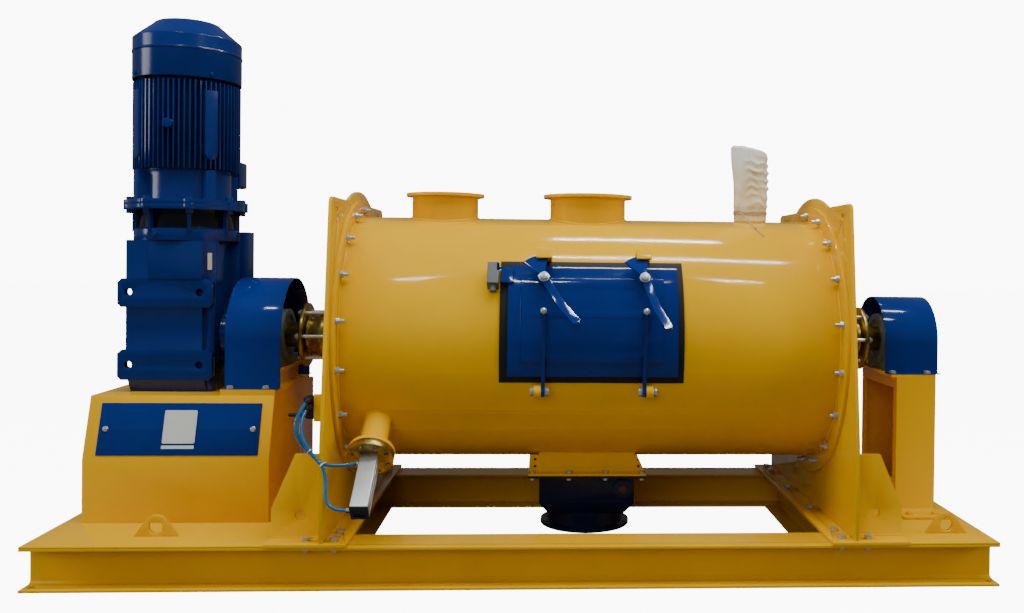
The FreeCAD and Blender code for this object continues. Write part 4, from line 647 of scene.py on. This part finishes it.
cloth = bmesh.new()
cut = cloth.loops.layers.uv.new("cut")
turns = [-math.pi + math.tau * step / around for step in range(around)]
rings, cut_heights = [], []
for row in range(rows + 1):
    share = row / rows
    ring = []
    for turn in turns:
        foot = sock_foot - 0.0034 * math.sin(turn) ** 2
        height = foot + (sock_rim(turn) - foot) * share
        reach = sock_reach(turn, height)
        lean = sock_lean * fade(height, 1.28, 1.43)
        ring.append(cloth.verts.new((sock_x + lean + reach * math.cos(turn), reach * math.sin(turn), height)))
    rings.append(ring)
    cut_heights.append(cut_side * share)
for row in range(1, cap_rows + 1):
    share = 1 - row / (cap_rows + 1)
    ring = []
    for turn in turns:
        reach = sock_reach(turn, sock_rim(turn)) * share
        crumple = noise.noise(Vector((reach * math.cos(turn) * 48, reach * math.sin(turn) * 48, 1.5)))
        dip = 0.010 * math.sin(math.pi * share) ** 2 * (0.4 + crumple)
        dome = 0.003 * math.sin(math.pi * share)
        height = sock_rim(turn) + dome - dip + sock_slant * math.cos(turn) * (1 - share)
        x = sock_x + sock_lean + reach * math.cos(turn)
        ring.append(cloth.verts.new((x, reach * math.sin(turn), height)))
    rings.append(ring)
    cut_heights.append(cut_side + cut_cap * row / cap_rows)
top = cloth.verts.new((sock_x + sock_lean, 0.0, 1.4225))
for low, high, low_cut, high_cut in zip(rings, rings[1:], cut_heights, cut_heights[1:]):
    for step in range(around):
        after = (step + 1) % around
        face = cloth.faces.new((low[step], low[after], high[after], high[step]))
        sides, levels = (step, step + 1, step + 1, step), (low_cut, low_cut, high_cut, high_cut)
        for loop, side, level in zip(face.loops, sides, levels):
            loop[cut].uv = (side / around * cut_girth, level)
for step in range(around):
    cloth.faces.new((rings[-1][step], rings[-1][(step + 1) % around], top))
mesh = bpy.data.meshes.new("filter_sock_cloth")
cloth.to_mesh(mesh)
cloth.free()
mesh.shade_smooth()
mesh.materials.append(felt)
sock = bpy.data.objects.new("filter_sock_cloth", mesh)
bpy.context.scene.collection.objects.link(sock)
wall = sock.modifiers.new("cloth_thickness", "SOLIDIFY")
wall.thickness = 0.0012
wall.offset = 1.0
mounted(sock, "machine")
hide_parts("filter_sock")

tie_cord = bpy.data.materials.new("waxed_cotton_cord")
tie_cord.use_nodes = True
tree = tie_cord.node_tree
shader = tree.nodes["Principled BSDF"]
strands = add_node(tree, "ShaderNodeTexWave", {"Scale": 220.0, "Distortion": 2.0},
                   {"Vector": add_node(tree, "ShaderNodeTexCoord").outputs["Object"]},
                   bands_direction="DIAGONAL")
tone = add_node(tree, "ShaderNodeValToRGB", None, {"Fac": strands.outputs["Fac"]})
tone.color_ramp.elements[0].color = linear("#9A7A4A")
tone.color_ramp.elements[1].color = linear("#D6BC8A")
tree.links.new(tone.outputs["Color"], shader.inputs["Base Color"])
shader.inputs["Roughness"].default_value = 0.7

wrap_turns, turn_steps = 4, 24
wrap_reach, wrap_foot, wrap_pitch = 0.0612, 1.1845, 0.0030
wrap = []
for step in range(wrap_turns * turn_steps + 1):
    turn = math.radians(-133) + math.tau * step / turn_steps
    wrap.append((sock_x + wrap_reach * math.cos(turn), wrap_reach * math.sin(turn),
                 wrap_foot + wrap_pitch * step / turn_steps))
knot = [(0.7675, -0.0455, 1.193), (0.763, -0.050, 1.190), (0.768, -0.054, 1.187), (0.773, -0.049, 1.184),
        (0.768, -0.047, 1.188), (0.764, -0.051, 1.185), (0.769, -0.055, 1.187)]
sock_tie_wrap = tube("sock_tie_wrap", wrap + knot, 0.0030, tie_cord)
mounted(sock_tie_wrap, "machine")

tail_route = [(0.7680, -0.0530, 1.1870), (0.7715, -0.0680, 1.1800), (0.7785, -0.0950, 1.1660),
              (0.7860, -0.1280, 1.1490), (0.7945, -0.1640, 1.1305), (0.8000, -0.1820, 1.1215),
              (0.8060, -0.2020, 1.1110), (0.8103, -0.2173, 1.1034)]
tail_diameter = 0.0040
sock_tie_tail = tube("sock_tie_tail", tail_route, tail_diameter, tie_cord)
mounted(sock_tie_tail, "machine")
knot_route = [(0.7930, -0.1630, 1.1345), (0.7985, -0.1660, 1.1345), (0.7980, -0.1690, 1.1290),
              (0.7920, -0.1680, 1.1280), (0.7925, -0.1635, 1.1315), (0.7985, -0.1635, 1.1305),
              (0.7970, -0.1700, 1.1315), (0.7915, -0.1700, 1.1325)]
tail_knot = tube("sock_tie_knot", knot_route, 0.0034, tie_cord)
mounted(tail_knot, "machine")


# Rating plates and screws. Blank lacquered plates riveted on the stand's cover and an ivory one on the
# gearbox's slanted corner. Turned and cold-formed screws hold the cover, the guards and the fan cowl, with
# zinc left bare or under the blue enamel, and a plug closes the adapter's grease hole.
def fixed_plate(name, middle, across, up, width, height, thick, rivet, material):
    # a blank plate with rounded corners and a domed rivet in each; rivet is the rivet's radius
    across, up = Vector(across).normalized(), Vector(up).normalized()
    shape = bmesh.new()
    block = bmesh.ops.create_cube(shape, size=1.0)["verts"]
    bmesh.ops.scale(shape, verts=block, vec=(width, height, thick))
    bmesh.ops.bevel(shape, geom=[edge for edge in shape.edges if edge.calc_length() < thick * 1.01],
                    offset=rivet, segments=4, affect="EDGES")
    for x in (-1, 1):
        for y in (-1, 1):
            dome = bmesh.ops.create_uvsphere(shape, u_segments=14, v_segments=8, radius=rivet)["verts"]
            bmesh.ops.scale(shape, verts=dome, vec=(1, 1, 0.6))
            spot = (x * (width / 2 - 2.2 * rivet), y * (height / 2 - 2.2 * rivet), thick / 2)
            bmesh.ops.translate(shape, verts=dome, vec=spot)
    turn = Matrix((across, up, across.cross(up))).transposed().to_4x4()
    bmesh.ops.transform(shape, matrix=Matrix.Translation(middle) @ turn, verts=shape.verts)
    bmesh.ops.recalc_face_normals(shape, faces=shape.faces)
    mesh = bpy.data.meshes.new(name)
    shape.to_mesh(mesh)
    shape.free()
    mesh.materials.append(material)
    plate = bpy.data.objects.new(name, mesh)
    bpy.context.scene.collection.objects.link(plate)
    mounted(plate, "machine")


slope = math.atan2(0.060, 0.202)
slope_up = Vector((0, math.sin(slope), math.cos(slope)))
slope_out = Vector((0, -math.cos(slope), math.sin(slope)))
cover_foot = Vector((0, -0.295, 0.345)) + slope_out * 0.003
lacquered = fine_grained("lacquered_aluminium_plate", "#BCC1BD", "#D0D4CF")
middle = Vector((-1.136, 0, 0)) + cover_foot + slope_up * 0.1074 + slope_out * 0.0005
fixed_plate("blank_rating_plate", middle, (1, 0, 0), slope_up, 0.105, 0.109, 0.001, 0.0022,
            lacquered)
middle = Vector((-1.1365, 0, 0)) + cover_foot + slope_up * 0.0410 + slope_out * 0.0005
fixed_plate("blank_rating_strip", middle, (1, 0, 0), slope_up, 0.105, 0.011, 0.001, 0.0010,
            lacquered)
ivory = fine_grained("moulded_plastic_ivory", "#C9C4A4", "#D9D5B8")
fixed_plate("blank_gearbox_plate", (-1.0925, -0.1262, 0.994), (0.4537, 0.8912, 0), (0, 0, 1),
            0.019, 0.058, 0.002, 0.0014, ivory)


def turned_piece(name, profile, foot, axis, sides, material):
    # a small part with a round or hexagonal outline: its profile lists (radius, height) pairs along the axis
    axis = Vector(axis).normalized()
    e = axis.orthogonal().normalized()
    f = axis.cross(e)
    vertices, faces = [], []
    for radius, height in profile:
        for step in range(sides):
            turn = math.tau * step / sides
            vertices.append(Vector(foot) + axis * height + (e * math.cos(turn) + f * math.sin(turn)) * radius)
    for row in range(len(profile) - 1):
        for step in range(sides):
            a, b = row * sides + step, row * sides + (step + 1) % sides
            faces.append((a, b, b + sides, a + sides))
    faces.append(tuple(range(sides))[::-1])
    faces.append(tuple(range((len(profile) - 1) * sides, len(profile) * sides)))
    piece = new_mesh_object(name, vertices, faces)
    piece.data.materials.append(material)
    mounted(piece, "machine")


cover_screw = [(0.0095, -0.001), (0.0095, 0.0012), (0.0088, 0.0035), (0.006, 0.0055), (0.002, 0.0063)]
for name, x in (("cover_screw_left", -1.374), ("cover_screw_right", -0.898)):
    foot = Vector((x, 0, 0)) + cover_foot + slope_up * 0.100
    turned_piece(name, cover_screw, foot, slope_out, 28, zinc_plate)
guard_screw = [(0.0135, -0.0006), (0.0135, 0.0010), (0.0114, 0.0012), (0.0114, 0.0078), (0.0100, 0.0086)]
guard_spots = [("guard_screw_left_1", (-0.992, -0.2165, 0.570)),
               ("guard_screw_left_2", (-0.874, -0.2165, 0.570)),
               ("guard_screw_right_1", (1.289, -0.169, 0.626)),
               ("guard_screw_right_2", (1.413, -0.169, 0.626))]
for name, spot in guard_spots:
    turned_piece(name, guard_screw, spot, (0, 0, 1), 6, zinc_plate)
grease_plug = [(0.0095, -0.004), (0.0095, 0.003), (0.0075, 0.004), (0.0075, 0.010), (0.006, 0.012)]
turned_piece("adapter_grease_plug", grease_plug, (-1.262, -0.166, 1.083), (-0.2, -1, 0), 24,
             cast_blue)
cowl_screw = [(0.0085, -0.002), (0.0085, 0.001), (0.0065, 0.0012), (0.0065, 0.0055), (0.0055, 0.0065)]
cowl_radius, cowl_screw_height = 0.180, 1.636
for step in range(4):
    turn = math.radians(45 + 90 * step)
    way = Vector((math.cos(turn), math.sin(turn), 0))
    foot = Vector((drive_x, 0, cowl_screw_height)) + way * cowl_radius
    turned_piece("cowl_screw_%d" % (step + 1), cowl_screw, foot, way, 24, cast_blue)
